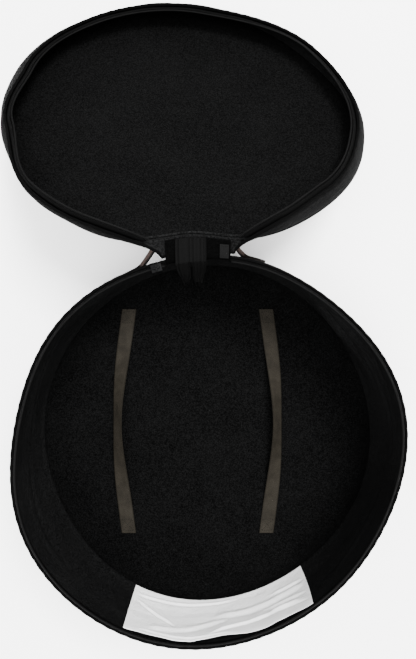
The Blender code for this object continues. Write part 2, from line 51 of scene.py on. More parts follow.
FELT = 0.003
GAP = 0.0003
Mapping = Callable[[float, float], Vector]


class Slot(Enum):
    """Material slots of the record."""

    FELT = "felt"
    ZIP_TAPE = "zip_tape"
    RIBBED_STRIP = "ribbed_strip"
    ZIP_COIL = "zip_coil"
    ZIP_METAL = "zip_metal"
    GREY_TAB = "grey_tab"
    HAT_STRAP = "hat_strap"
    HANDLE_LEATHER = "handle_leather"
    WEBBING = "webbing"
    POCKET_CLOTH = "pocket_cloth"


# Small sums


def smooth(value: float) -> float:
    """Eases a share from 0 to 1 with flat ends."""
    value = max(0.0, min(1.0, value))
    return value * value * (3 - 2 * value)


def mix(first: float, second: float, share: float) -> float:
    """Value that share of the way from the first to the second."""
    return first + (second - first) * share


def steps(first: float, last: float, count: int) -> list[float]:
    """Evenly spaced values from first to last, both included."""
    return [mix(first, last, i / (count - 1)) for i in range(count)]


def aim(angle: float) -> Vector:
    """Horizontal unit vector in a direction given in degrees."""
    return Vector((math.cos(math.radians(angle)), math.sin(math.radians(angle)), 0))


def turn_between(angle: float, centre: float) -> float:
    """Difference of two directions, from -180 to 180 degrees."""
    return (angle - centre + 180) % 360 - 180


def bell(value: float, centre: float, spread: float) -> float:
    """Bell curve of height 1 round a centre."""
    return math.exp(-(((value - centre) / spread) ** 2))


def ripple(place: Vector, scale: float, seed: float = 0.0) -> float:
    """Smooth noise from about -1 to 1, whose lumps are that many metres apart.

    Args:
        place: point in the frame.
        scale: distance between lumps in metres.
        seed: moves the pattern, so that two pieces differ.

    Returns:
        The noise there.
    """
    return noise.noise(place / scale + Vector((seed, seed * 1.7, seed * 0.3)))


def from_rows(value: float, rows: Sequence[tuple[float, ...]], column: int, eased: bool = False) -> float:
    """Reads a column of a table whose first column rises.

    Args:
        value: place in the first column.
        rows: the table.
        column: column to read.
        eased: eases between rows where true, and runs straight where false.

    Returns:
        The value between the two nearest rows.
    """
    for low, high in zip(rows, rows[1:]):
        if value <= high[0]:
            share = (value - low[0]) / (high[0] - low[0])
            return mix(low[column], high[column], smooth(share) if eased else share)
    return rows[-1][column]


def kept(memo: dict, name: str, value: float, make: Callable[[], object]) -> object:
    """Result of a slow sum, worked out once for each value.

    Args:
        memo: results so far.
        name: what the result is.
        value: what it depends on.
        make: works it out.

    Returns:
        The result, which the caller doesn't change.
    """
    key = (name, round(value, 7))
    if key not in memo:
        memo[key] = make()
    return memo[key]


# Forms that the pieces follow


@dataclass(frozen=True)
class Lobes:
    """One wave of an outline: how many lobes, its height as a share of the radius and a crest's direction."""

    count: int
    share: float
    crest: float


def outline(angle: float, waves: Iterable[Lobes]) -> float:
    """Radius factor of a wavy circle in a direction given in degrees."""
    return 1 + sum(w.share * math.cos(w.count * math.radians(angle - w.crest)) for w in waves)


@dataclass(frozen=True)
class BodyForm:
    """Side wall of the body as a soft surface between the base's outline and the rim's."""

    base_radius: float = 0.230
    rim_radius: float = 0.2168
    top: float = 0.156
    belly: float = 0.004
    rim_shift: tuple[float, float] = (-0.0014, 0.0062)
    rim_waves: tuple[Lobes, ...] = (
        Lobes(2, 0.0197, 37.0),
        Lobes(3, 0.0133, 1.0),
        Lobes(4, 0.0053, 21.0),
        Lobes(5, 0.0045, 1.0),
        Lobes(6, 0.0052, 18.0),
    )
    base_waves: tuple[Lobes, ...] = (
        Lobes(2, 0.0130, 83.0),
        Lobes(3, 0.0034, 5.0),
        Lobes(4, 0.0080, -14.0),
    )
    profile: tuple[tuple[float, float, float], ...] = (
        (0.00, 0.00, 0.00),
        (0.10, 0.04, 0.45),
        (0.28, 0.15, 0.85),
        (0.48, 0.36, 1.00),
        (0.68, 0.60, 0.75),
        (0.86, 0.84, 0.30),
        (1.00, 1.00, 0.00),
    )
    dents: tuple[tuple[float, float, float, float, float], ...] = (
        (40.0, 0.34, 15.0, 0.20, 0.080),
        (38.0, 0.66, 24.0, 0.10, -0.022),
        (168.0, 0.45, 13.0, 0.25, 0.020),
        (206.0, 0.55, 10.0, 0.22, -0.014),
        (330.0, 0.50, 12.0, 0.24, 0.018),
        (128.0, 0.50, 12.0, 0.26, 0.020),
    )
    memo: dict = field(default_factory=dict, compare=False, repr=False)

    @property
    def foot(self) -> float:
        """Height of the wall's lower edge."""
        return FELT + GAP

    @property
    def height(self) -> float:
        """Height of the wall from its lower to its upper edge."""
        return self.top - self.foot

    def base_edge(self, angle: float) -> Vector:
        """Point of the base's outline on the ground."""
        return aim(angle) * self.base_radius * outline(angle, self.base_waves)

    def point(self, angle: float, share: float) -> Vector:
        """Point of the wall's outer face, share 0 at the foot and 1 at the top edge."""
        rim = aim(angle) * self.rim_radius * outline(angle, self.rim_waves) + Vector((*self.rim_shift, 0))
        place = self.base_edge(angle).lerp(rim, from_rows(share, self.profile, 1))
        push = self.belly * from_rows(share, self.profile, 2)
        for direction, level, spread, rise, depth in self.dents:
            across = turn_between(angle, direction) / spread
            along = (share - level) / rise
            fade = smooth(share * 8) * smooth((1 - share) * 8)
            push -= depth * self.height * math.exp(-across * across - along * along) * fade
        place += aim(angle) * push
        place.z = self.foot + self.height * share
        return place

    def facing(self, angle: float, share: float) -> Vector:
        """Outward normal of the wall."""
        low, high = max(0.0, share - 0.02), min(1.0, share + 0.02)
        along = self.point(angle + 1, share) - self.point(angle - 1, share)
        return along.cross(self.point(angle, high) - self.point(angle, low)).normalized()

    def inside(self, angle: float, share: float, depth: float) -> Vector:
        """Point that far inward of the wall's outer face."""
        return self.point(angle, share) - self.facing(angle, share) * depth

    def angle_at(self, x: float, share: float) -> float:
        """Direction of the back wall's point that has this X, found by halving."""

        def halve() -> float:
            """Narrows the direction down."""
            low, high = 45.0, 135.0
            for _ in range(26):
                middle = (low + high) / 2
                low, high = (middle, high) if self.point(middle, share).x > x else (low, middle)
            return (low + high) / 2

        return kept(self.memo, f"at {share:.6f}", x, halve)

    def rim_frame(self, angle: float) -> tuple[Vector, Vector, Vector]:
        """Top edge of the outer face, the inward direction and the upward direction."""

        def place() -> tuple[Vector, Vector, Vector]:
            """Works the three out."""
            along = self.point(angle + 1, 1.0) - self.point(angle - 1, 1.0)
            up = Vector((0, 0, 1))
            return self.point(angle, 1.0), up.cross(along).normalized(), up

        return kept(self.memo, "rim", angle, place)


@dataclass(frozen=True)
class LidForm:
    """The lid as it lies: a drooping panel, and a low wall that is pulled down to the body at the hinge."""

    body: BodyForm = field(default_factory=BodyForm)
    centre: tuple[float, float] = (-0.0344, 0.4058)
    half_width: float = 0.2236
    half_reach: float = 0.1805
    near_height: float = 0.170
    far_height: float = 0.0024
    roll: float = -2.0
    yaw: float = -12.6
    sag: float = 0.008
    depth: float = 0.033
    flat_aim: float = 285.0
    flat_depth: float = 0.105
    flat_spread: float = 15.0
    tape_ease: float = 0.0010
    hinge_left: float = -0.046
    hinge_right: float = 0.026
    hinge_margin: float = 0.005
    fade_left: float = 0.070
    fade_right: float = 0.048
    hinge_step: float = 0.001
    waves: tuple[Lobes, ...] = (
        Lobes(3, 0.0121, 1.0),
        Lobes(4, 0.0141, -1.0),
        Lobes(5, 0.0047, 10.0),
    )
    lean: tuple[tuple[float, float], ...] = (
        (0.0, 0.38),
        (45.0, 0.30),
        (90.0, 1.10),
        (135.0, 1.00),
        (180.0, 0.88),
        (210.0, 0.30),
        (240.0, -0.35),
        (270.0, -0.40),
        (300.0, -0.36),
        (330.0, 0.06),
        (360.0, 0.38),
    )
    memo: dict = field(default_factory=dict, compare=False, repr=False)

    def height(self, across: float, reach: float) -> float:
        """Height of the panel's underside at a place in the lid, as shares of its half sizes."""
        share = (reach + 1) / 2
        slope = mix(self.near_height, self.far_height, share) - self.sag * 4 * share * (1 - share)
        roll = math.tan(math.radians(self.roll)) * self.half_width * across
        return slope + roll * (1 - smooth((share - 0.35) / 0.65))

    def panel_height(self, x: float, y: float) -> float:
        """Height of the panel's underside over a place on the ground."""
        return self.height((x - self.centre[0]) / self.half_width, (y - self.centre[1]) / self.half_reach)

    def panel(self, angle: float, share: float) -> Vector:
        """Point of the panel's underside: direction 270 is the hinge side and 90 the far side."""
        flat = bell(turn_between(angle, self.flat_aim), 0.0, self.flat_spread)
        factor = outline(angle, self.waves) * (1 - self.flat_depth * flat) * share
        u = self.half_width * math.cos(math.radians(angle)) * factor
        v = self.half_reach * math.sin(math.radians(angle)) * factor
        yaw = math.radians(self.yaw)
        x = u * math.cos(yaw) - v * math.sin(yaw)
        y = u * math.sin(yaw) + v * math.cos(yaw)
        z = self.height(x / self.half_width, y / self.half_reach)
        return Vector((self.centre[0] + x, self.centre[1] + y, z))

    @property
    def normal(self) -> Vector:
        """Direction that the inside of the lid faces, on the whole."""
        slope = Vector((0, 2 * self.half_reach, self.far_height - self.near_height))
        return Vector((1, 0, 0)).cross(slope).normalized()

    def edge(self, angle: float) -> Vector:
        """Point of the panel's edge."""
        return kept(self.memo, "edge", angle, lambda: self.panel(angle, 1.0))

    def inward(self, angle: float) -> Vector:
        """Direction in the lid's plane from its edge towards the inside."""

        def cross() -> Vector:
            """Turns the edge's run inward."""
            along = self.edge(angle + 2) - self.edge(angle - 2)
            return self.normal.cross(along).normalized()

        return kept(self.memo, "inward", angle, cross)

    def hinge_share(self, angle: float) -> float:
        """How much of the wall is pulled down to the body's rim, from 0 to 1."""
        if abs(turn_between(angle, 270.0)) > 60:
            return 0.0
        x = self.edge(angle).x
        left = (self.hinge_left - self.hinge_margin - x) / self.fade_left
        right = (x - self.hinge_right - self.hinge_margin) / self.fade_right
        return 1 - smooth(max(left, right))

    def hinge_line(self, x: float) -> Vector:
        """Place where the lid's wall meets the body's rim."""
        edge = self.body.point(self.body.angle_at(x, 1.0), 1.0)
        return Vector((x, edge.y + FELT + GAP, self.body.top - self.hinge_step))

    def wall_top(self, angle: float) -> Vector:
        """Top edge of the wall's outer face."""

        def place() -> Vector:
            """Free edge, pulled down near the hinge."""
            foot = self.edge(angle)
            lean = self.depth * from_rows(angle % 360, self.lean, 1, True)
            free = foot + self.normal * self.depth + self.inward(angle) * lean
            pull = self.hinge_share(angle)
            if pull <= 0:
                return free
            low, high = self.hinge_left - self.hinge_margin, self.hinge_right + self.hinge_margin
            return free.lerp(self.hinge_line(max(low, min(high, foot.x))), pull)

        return kept(self.memo, "top", angle, place)

    def wall_foot(self, angle: float) -> Vector:
        """Lower edge of the wall's outer face, just above the panel."""

        def place() -> Vector:
            """Panel's edge, raised by the wall's lean."""
            lean = max(0.0, from_rows(angle % 360, self.lean, 1, True))
            return self.edge(angle) + self.normal * (FELT + GAP + FELT * lean / math.hypot(1, lean))

        return kept(self.memo, "foot", angle, place)

    def wall(self, angle: float, share: float) -> Vector:
        """Point of the wall's outer face, share 0 at the panel and 1 at the zip."""
        free = kept(self.memo, "free", angle, lambda: 1 - self.hinge_share(angle))
        belly = 0.003 * math.sin(math.pi * share) * free
        return self.wall_foot(angle).lerp(self.wall_top(angle), share) - self.inward(angle) * belly

    def facing(self, angle: float, share: float) -> Vector:
        """Outward normal of the wall."""
        along = self.wall(angle + 1, share) - self.wall(angle - 1, share)
        return along.cross(self.wall(angle, 1.0) - self.wall(angle, 0.0)).normalized()

    def inside(self, angle: float, share: float, depth: float) -> Vector:
        """Point that far inward of the wall's outer face."""
        return self.wall(angle, share) - self.facing(angle, share) * depth

    def angle_at(self, x: float) -> float:
        """Direction of the hinge side's point that has this X, found by halving."""

        def halve() -> float:
            """Narrows the direction down."""
            low, high = 235.0, 325.0
            for _ in range(26):
                middle = (low + high) / 2
                low, high = (middle, high) if self.panel(middle, 1.0).x < x else (low, middle)
            return (low + high) / 2

        return kept(self.memo, "at", x, halve)

    def rim_frame(self, angle: float) -> tuple[Vector, Vector, Vector]:
        """Top edge of the outer face, the inward direction and the direction up the wall."""

        def place() -> tuple[Vector, Vector, Vector]:
            """Works the three out."""
            top = self.wall_top(angle)
            up = (top - self.wall(angle, 0.66)).normalized()
            along = (self.wall_top(angle + 1) - self.wall_top(angle - 1)).normalized()
            inward = up.cross(along).normalized()
            return top + inward * self.tape_ease, inward, up

        return kept(self.memo, "rim", angle, place)


# Shader graphs


class Wire:
    """A socket that takes part in sums, each of which adds a Math node."""

    def __init__(self, graph: "Graph", socket: bpy.types.NodeSocket) -> None:
        """Wraps a socket of a graph."""
        self.graph = graph
        self.socket = socket

    def _math(self, operation: str, first: "Wire | float", second: "Wire | float" = 0.0) -> "Wire":
        """One Math node.

        Args:
            operation: the node's operation.
            first: its first value or wire.
            second: its second value or wire.

        Returns:
            The node's result.
        """
        return self.graph.node("ShaderNodeMath", {"operation": operation}, {0: first, 1: second})

    def __add__(self, other: "Wire | float") -> "Wire":
        """Sum."""
        return self._math("ADD", self, other)

    __radd__ = __add__

    def __sub__(self, other: "Wire | float") -> "Wire":
        """Difference."""
        return self._math("SUBTRACT", self, other)

    def __rsub__(self, other: float) -> "Wire":
        """Difference from a number."""
        return self._math("SUBTRACT", other, self)

    def __mul__(self, other: "Wire | float") -> "Wire":
        """Product."""
        return self._math("MULTIPLY", self, other)

    __rmul__ = __mul__

    def __truediv__(self, other: "Wire | float") -> "Wire":
        """Quotient."""
        return self._math("DIVIDE", self, other)

    def __pow__(self, other: "Wire | float") -> "Wire":
        """Power."""
        return self._math("POWER", self, other)

    def wave(self) -> "Wire":
        """Sine."""
        return self._math("SINE", self)

    def size(self) -> "Wire":
        """Distance from zero."""
        return self._math("ABSOLUTE", self)

    def above(self, level: float, width: float) -> "Wire":
        """Mask that rises from 0 to 1 over a width round a level.

        Args:
            level: value where the mask is one half.
            width: how far it takes to rise.

        Returns:
            The mask.
        """
        inputs = {"Value": self, "From Min": level - width / 2, "From Max": level + width / 2}
        return self.graph.node("ShaderNodeMapRange", {"interpolation_type": "SMOOTHSTEP", "clamp": True}, inputs)


class Graph:
    """Node graph of one material."""

    def __init__(self, name: str) -> None:
        """Starts a material with only its shader and output."""
        self.material = bpy.data.materials.new(name)
        self.material.use_nodes = True
        self.tree = self.material.node_tree
        self.shader = self.tree.nodes["Principled BSDF"]

    def node(self, kind: str, settings: dict[str, object], inputs: dict[int | str, object], out: int = 0) -> Wire:
        """Adds a node.

        Args:
            kind: the node's type.
            settings: its own properties, which are set first.
            inputs: values or wires by socket name or number.
            out: number of the output to return.

        Returns:
            That output.
        """
        made = self.tree.nodes.new(kind)
        for key, value in settings.items():
            setattr(made, key, value)
        for key, value in inputs.items():
            self._feed(made.inputs[key], value)
        return Wire(self, made.outputs[out])

    def _feed(self, socket: bpy.types.NodeSocket, value: object) -> None:
        """Links a wire to a socket, or sets its value."""
        if isinstance(value, Wire):
            self.tree.links.new(value.socket, socket)
        else:
            socket.default_value = value

    def set(self, **values: object) -> None:
        """Sets or links the shader's sockets, whose spaces are written as underscores."""
        for key, value in values.items():
            self._feed(self.shader.inputs[key.replace("_", " ")], value)

    def place(self, stretch: tuple[float, float, float] = (1, 1, 1)) -> Wire:
        """Object coordinates in metres, stretched along the axes."""
        where = self.node("ShaderNodeTexCoord", {}, {}, 3)
        return self.node("ShaderNodeMapping", {}, {"Vector": where, "Scale": stretch})

    def laid(self) -> tuple[Wire, Wire]:
        """Distances along and across a piece in metres, from its UV map."""
        where = self.node("ShaderNodeUVMap", {"uv_map": "laid"}, {})
        parts = self.node("ShaderNodeSeparateXYZ", {}, {"Vector": where})
        return parts, Wire(self, parts.socket.node.outputs[1])

    def grain(self, where: Wire, scale: float, detail: float = 2.0, rough: float = 0.6, twist: float = 0.0) -> Wire:
        """Noise from 0 to 1.

        Args:
            where: coordinates.
            scale: lumps in each metre.
            detail: octaves.
            rough: strength of the fine octaves.
            twist: distortion.

        Returns:
            The noise.
        """
        inputs = {"Vector": where, "Scale": scale, "Detail": detail, "Roughness": rough, "Distortion": twist}
        return self.node("ShaderNodeTexNoise", {}, inputs)

    def cells(self, where: Wire, scale: float) -> Wire:
        """Distance to the nearest cell centre."""
        return self.node("ShaderNodeTexVoronoi", {}, {"Vector": where, "Scale": scale})

    def blend(self, share: Wire, first: tuple[float, ...], second: tuple[float, ...]) -> Wire:
        """Mixes two colours."""
        inputs = {0: share, 6: (*first, 1.0), 7: (*second, 1.0)}
        return self.node("ShaderNodeMix", {"data_type": "RGBA"}, inputs, 2)

    def bump(self, height: Wire, distance: float, strength: float = 1.0) -> None:
        """Feeds the shader's normal from a height of 0 to 1 that stands for that distance in metres."""
        inputs = {"Height": height, "Distance": distance, "Strength": strength}
        self.set(Normal=self.node("ShaderNodeBump", {}, inputs))


# Finishes


def grey(value: float, warm: float = 0.0) -> tuple[float, float, float]:
    """Nearly neutral colour, slightly warm or cold."""
    return (value * (1 + warm), value, value * (1 - warm))


@dataclass(frozen=True)
class FeltFinish:
    """Dense wool felt with mottled fibres, and where a rim is given, painted shade in a band along the top edge, past
    half its height.
    """

    name: str
    shade: float
    contrast: float = 0.85
    # rim: half the piece's height in its laid map; the painted shade band ends there, 0 for none
    rim: float = 0.0

    def make(self) -> bpy.types.Material:
        """Builds the material."""
        g = Graph(self.name)
        where = g.place()
        fibre = g.grain(where, 620.0, 3.0, 0.65, 0.6)
        tuft = g.grain(where, 190.0, 2.0, 0.6)
        cloud = g.grain(where, 14.0, 2.0, 0.5)
        light = fibre.above(0.52, 0.22) * 0.72 + tuft.above(0.5, 0.4) * 0.14 + cloud.above(0.5, 0.5) * 0.14
        # Painted shade: darkens the felt's colour over the last 5 mm below the top edge, beside the zip tape.
        if self.rim:
            _, across = g.laid()
            light = light * (1 - across.above(self.rim - 0.005, 0.003) * 0.9)
        dark, pale = self.shade * (1 - self.contrast), self.shade * (1 + self.contrast)
        g.set(Base_Color=g.blend(light, grey(dark), grey(pale, -0.01)))
        g.set(Roughness=0.98, Specular_IOR_Level=0.02)
        g.bump(fibre * 0.6 + tuft * 0.4, 0.0009)
        return g.material


@dataclass(frozen=True)
class WovenFinish:
    """Woven tape or web with a fine twill across it."""

    name: str
    shade: float
    pitch: float = 0.0009
    warm: float = 0.0
    rough: float = 0.78

    def make(self) -> bpy.types.Material:
        """Builds the material."""
        g = Graph(self.name)
        along, across = g.laid()
        turn = 2 * math.pi / self.pitch
        warp = (across * turn).wave() * 0.5 + 0.5
        weft = ((along + across * 0.5) * turn).wave() * 0.5 + 0.5
        fuzz = g.grain(g.place(), 900.0)
        weave = warp * 0.45 + weft * 0.35 + fuzz * 0.2
        g.set(Base_Color=g.blend(weave, grey(self.shade * 0.45, self.warm), grey(self.shade * 1.5, self.warm)))
        g.set(Roughness=self.rough, Specular_IOR_Level=0.03)
        g.bump(weave, 0.0003)
        return g.material


@dataclass(frozen=True)
class LeatherFinish:
    """Strap leather with grain and edges of their own colour, which fade out over the sewn ends."""

    name: str
    colour: tuple[float, float, float]
    edge: tuple[float, float, float]
    half_width: float
    foot: float = 0.0
    rough: float = 0.5
    shine: float = 0.12
    length: float = 0.2394

    def make(self) -> bpy.types.Material:
        """Builds the material."""
        g = Graph(self.name)
        where = g.place()
        along, across = g.laid()
        pebble = g.cells(where, 850.0)
        cloud = g.grain(where, 60.0, 3.0)
        worn = g.grain(where, 22.0, 2.0)
        free = (along - self.length / 2).size().above(self.length / 2 - self.foot, 0.006)
        rim = across.size().above(self.half_width - 0.0012, 0.0014) * (1 - free * (1.0 if self.foot else 0.0))
        body = g.blend(cloud.above(0.5, 0.6), tuple(c * 0.72 for c in self.colour), tuple(c * 1.25 for c in self.colour))
        inputs = {0: rim, 6: body, 7: (*self.edge, 1.0)}
        g.set(Base_Color=g.node("ShaderNodeMix", {"data_type": "RGBA"}, inputs, 2))
        g.set(Roughness=worn * 0.2 + (self.rough - 0.1), Specular_IOR_Level=self.shine)
        g.bump(pebble * 0.7 + cloud * 0.3, 0.0003, 0.8)
        return g.material


@dataclass(frozen=True)
class ThreadFinish:
    """Twisted sewing thread."""

    name: str
    colour: tuple[float, float, float]

    def make(self) -> bpy.types.Material:
        """Builds the material."""
        g = Graph(self.name)
        ply = g.grain(g.place((1, 1, 1)), 1400.0, 1.0)
        g.set(Base_Color=g.blend(ply, tuple(c * 0.6 for c in self.colour), tuple(c * 1.4 for c in self.colour)))
        g.set(Roughness=0.7, Specular_IOR_Level=0.05)
        g.bump(ply, 0.0002)
        return g.material


@dataclass(frozen=True)
class ClothFinish:
    """Thin plain-woven cloth."""

    name: str
    colour: tuple[float, float, float]
    pitch: float = 0.0007

    def make(self) -> bpy.types.Material:
        """Builds the material."""
        g = Graph(self.name)
        along, across = g.laid()
        turn = 2 * math.pi / self.pitch
        weave = (along * turn).wave() * (across * turn).wave() * 0.5 + 0.5
        cloud = g.grain(g.place(), 30.0, 3.0)
        tone = cloud * 0.7 + weave * 0.3
        g.set(Base_Color=g.blend(tone, tuple(c * 0.9 for c in self.colour), tuple(min(1.0, c * 1.06) for c in self.colour)))
        g.set(Roughness=0.85, Specular_IOR_Level=0.2, Sheen_Weight=0.05)
        g.bump(weave * 0.5 + cloud * 0.5, 0.0003)
        return g.material


@dataclass(frozen=True)
class HardFinish:
    """Nylon or enamelled metal with faint scuffs."""

    name: str
    colour: tuple[float, float, float]
    rough: float
    shine: float = 0.08

    def make(self) -> bpy.types.Material:
        """Builds the material."""
        g = Graph(self.name)
        scuff = g.grain(g.place((1, 1, 3)), 260.0, 3.0)
        g.set(Base_Color=g.blend(scuff, tuple(c * 0.7 for c in self.colour), tuple(c * 1.4 for c in self.colour)))
        g.set(Roughness=scuff * 0.25 + (self.rough - 0.12), Specular_IOR_Level=self.shine)
        g.bump(scuff, 0.00008)
        return g.material


# Meshes


def mapped(shape: Mapping, columns: int, rows: int, size: tuple[float, float], closed: bool = False) -> bmesh.types.BMesh:
    """Bends a flat grid into a surface and keeps its flat distances as the UV map "laid".

    Args:
        shape: point for a share along and a share across, each from 0 to 1.
        columns: faces along.
        rows: faces across.
        size: length and width in metres.
        closed: joins the two ends, as on a ring.

    Returns:
        The surface, whose faces point along-cross-across.
    """
    bm = bmesh.new()
    bmesh.ops.create_grid(bm, x_segments=columns, y_segments=rows, size=0.5)
    laid = bm.loops.layers.uv.new("laid")
    for face in bm.faces:
        for loop in face.loops:
            loop[laid].uv = ((loop.vert.co.x + 0.5) * size[0], loop.vert.co.y * size[1])
    for vert in bm.verts:
        vert.co = shape(vert.co.x + 0.5, vert.co.y + 0.5)
    if closed:
        bmesh.ops.remove_doubles(bm, verts=bm.verts, dist=1e-6)
    return bm


def along_path(points: Sequence[Vector], share: float) -> Vector:
    """Point that share of the way along a row of points."""
    where = share * (len(points) - 1)
    first = min(int(where), len(points) - 2)
    return points[first].lerp(points[first + 1], where - first)


def rounded(points: Sequence[Vector], times: int = 2) -> list[Vector]:
    """Cuts the corners of a row of points and keeps its ends."""
    for _ in range(times):
        cut = [points[0]]
        for first, second in zip(points, points[1:]):
            cut += [first.lerp(second, 0.25), first.lerp(second, 0.75)]
        points = cut + [points[-1]]
    return list(points)


def evenly(points: Sequence[Vector], count: int) -> list[Vector]:
    """Places that many points evenly along a row of points."""
    marks = [0.0]
    for first, second in zip(points, points[1:]):
        marks.append(marks[-1] + (second - first).length)
    spots, part = [], 0
    for goal in steps(0, marks[-1], count):
        while part < len(marks) - 2 and marks[part + 1] < goal:
            part += 1
        run = max(marks[part + 1] - marks[part], 1e-9)
        spots.append(points[part].lerp(points[part + 1], (goal - marks[part]) / run))
    return spots


def span(points: Sequence[Vector]) -> float:
    """Length of a row of points."""
    return sum((second - first).length for first, second in zip(points, points[1:]))


def tube(points: Sequence[Vector], radius: float, sides: int = 8, closed: bool = False) -> bmesh.types.BMesh:
    """Round bead along a row of points, with its ends filled unless it is a ring."""
    count = len(points)
    frames = []
    side = Vector((0, 0, 1))
    for i in range(count):
        ahead = points[(i + 1) % count] if closed else points[min(i + 1, count - 1)]
        behind = points[i - 1] if closed else points[max(i - 1, 0)]
        run = (ahead - behind).normalized()
        side = (side - run * side.dot(run)).normalized()
        frames.append((side, run.cross(side)))

    def shape(u: float, v: float) -> Vector:
        """Point on the bead."""
        i = round(u * (count - (0 if closed else 1))) % count
        turn = 2 * math.pi * v
        first, second = frames[i]
        return points[i] + (first * math.cos(turn) - second * math.sin(turn)) * radius

    bm = mapped(shape, count if closed else count - 1, sides, (span(points), 2 * math.pi * radius))
    bmesh.ops.remove_doubles(bm, verts=bm.verts, dist=1e-6)
    if not closed:
        bmesh.ops.holes_fill(bm, edges=[edge for edge in bm.edges if edge.is_boundary])
    bmesh.ops.recalc_face_normals(bm, faces=bm.faces)
    return bm


def add_to(bm: bmesh.types.BMesh, other: bmesh.types.BMesh) -> None:
    """Adds a second mesh to a first and frees it."""
    spare = bpy.data.meshes.new("spare")
    other.to_mesh(spare)
    other.free()
    bm.from_mesh(spare)
    bpy.data.meshes.remove(spare)


def frame_matrix(place: Vector, run: Vector, up: Vector, size: tuple[float, float, float]) -> Matrix:
    """Matrix that lays a unit shape along a direction, with its Z along the surface's normal."""
    x = run.normalized()
    z = (up - x * up.dot(x)).normalized()
    y = z.cross(x)
    rows = [(x[i] * size[0], y[i] * size[1], z[i] * size[2], place[i]) for i in range(3)]
    return Matrix((*rows, (0, 0, 0, 1)))


def beads(bm: bmesh.types.BMesh, places: Sequence[Matrix], segments: int, rings: int, batch: int = 24) -> None:
    """Adds an egg-shaped bead at each place, a few at a time because a large mesh takes each one slowly.

    Args:
        bm: mesh that takes the beads.
        places: matrix of each bead, whose scale is its half size.
        segments: faces round a bead.
        rings: faces along a bead.
        batch: beads made together.
    """
    for start in range(0, len(places), batch):
        part = bmesh.new()
        for place in places[start : start + batch]:
            bmesh.ops.create_uvsphere(part, u_segments=segments, v_segments=rings, radius=1.0, matrix=place)
        add_to(bm, part)


@dataclass(frozen=True)
class Seam:
    """Row of stitches: length of one, gap to the next, thickness and how deep it sits."""

    length: float = 0.0030
    gap: float = 0.0012
    thick: float = 0.00050
    sunk: float = 0.00005

    def sew(self, bm: bmesh.types.BMesh, points: Sequence[Vector], normals: Sequence[Vector]) -> None:
        """Sews stitches along a row of points.

        Args:
            bm: mesh that takes the stitches.
            points: the seam's line on the surface.
            normals: the surface's normal at each point.
        """
        total = span(points)
        count = max(1, round(total / (self.length + self.gap)))
        spots = evenly(points, count + 1)
        ups = evenly(normals, count + 1) if len(set(map(tuple, normals))) > 1 else [normals[0]] * (count + 1)
        places = []
        for first, second, up in zip(spots, spots[1:], ups):
            run = second - first
            middle = (first + second) / 2 - up.normalized() * self.sunk
            size = (run.length / 2 - self.gap / 2, self.thick / 2, self.thick / 2.4)
            places.append(frame_matrix(middle, run, up, size))
        beads(bm, places, 6, 4)


def dress(
    name: str,
    bm: bmesh.types.BMesh,
    finish: bpy.types.Material,
    slot: Slot,
    replaces: Sequence[str] = (),
    thickness: float = 0.0,
    offset: float = -1.0,
    edge: float = 0.0,
) -> bpy.types.Object:
    """Makes a piece of a mesh, rides it on the body and reports it.

    Args:
        name: the piece's name.
        bm: its mesh, which is freed.
        finish: its material.
        slot: the record's slot; not used.
        replaces: CAD nodes that it stands for.
        thickness: thickness of its cloth or felt, 0 for a closed shape.
        offset: side that the thickness grows to, -1 inward and 0 both ways.
        edge: radius of its rounded edges.

    Returns:
        The piece.
    """
    mesh = bpy.data.meshes.new(name)
    bm.to_mesh(mesh)
    bm.free()
    mesh.materials.append(finish)
    thing = bpy.data.objects.new(name, mesh)
    bpy.context.scene.collection.objects.link(thing)
    if thickness:
        solid = thing.modifiers.new("Thickness", "SOLIDIFY")
        solid.thickness = thickness
        solid.offset = offset
    if edge:
        bevel = thing.modifiers.new("Edge", "BEVEL")
        bevel.width = edge
        bevel.segments = 2
        bevel.limit_method = "ANGLE"
        bevel.angle_limit = math.radians(55)
    mesh.shade_smooth()
    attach(thing, "root")
    if replaces:
        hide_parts(*replaces)
    LOG.info("%s: %d faces", name, len(mesh.polygons))
    return thing


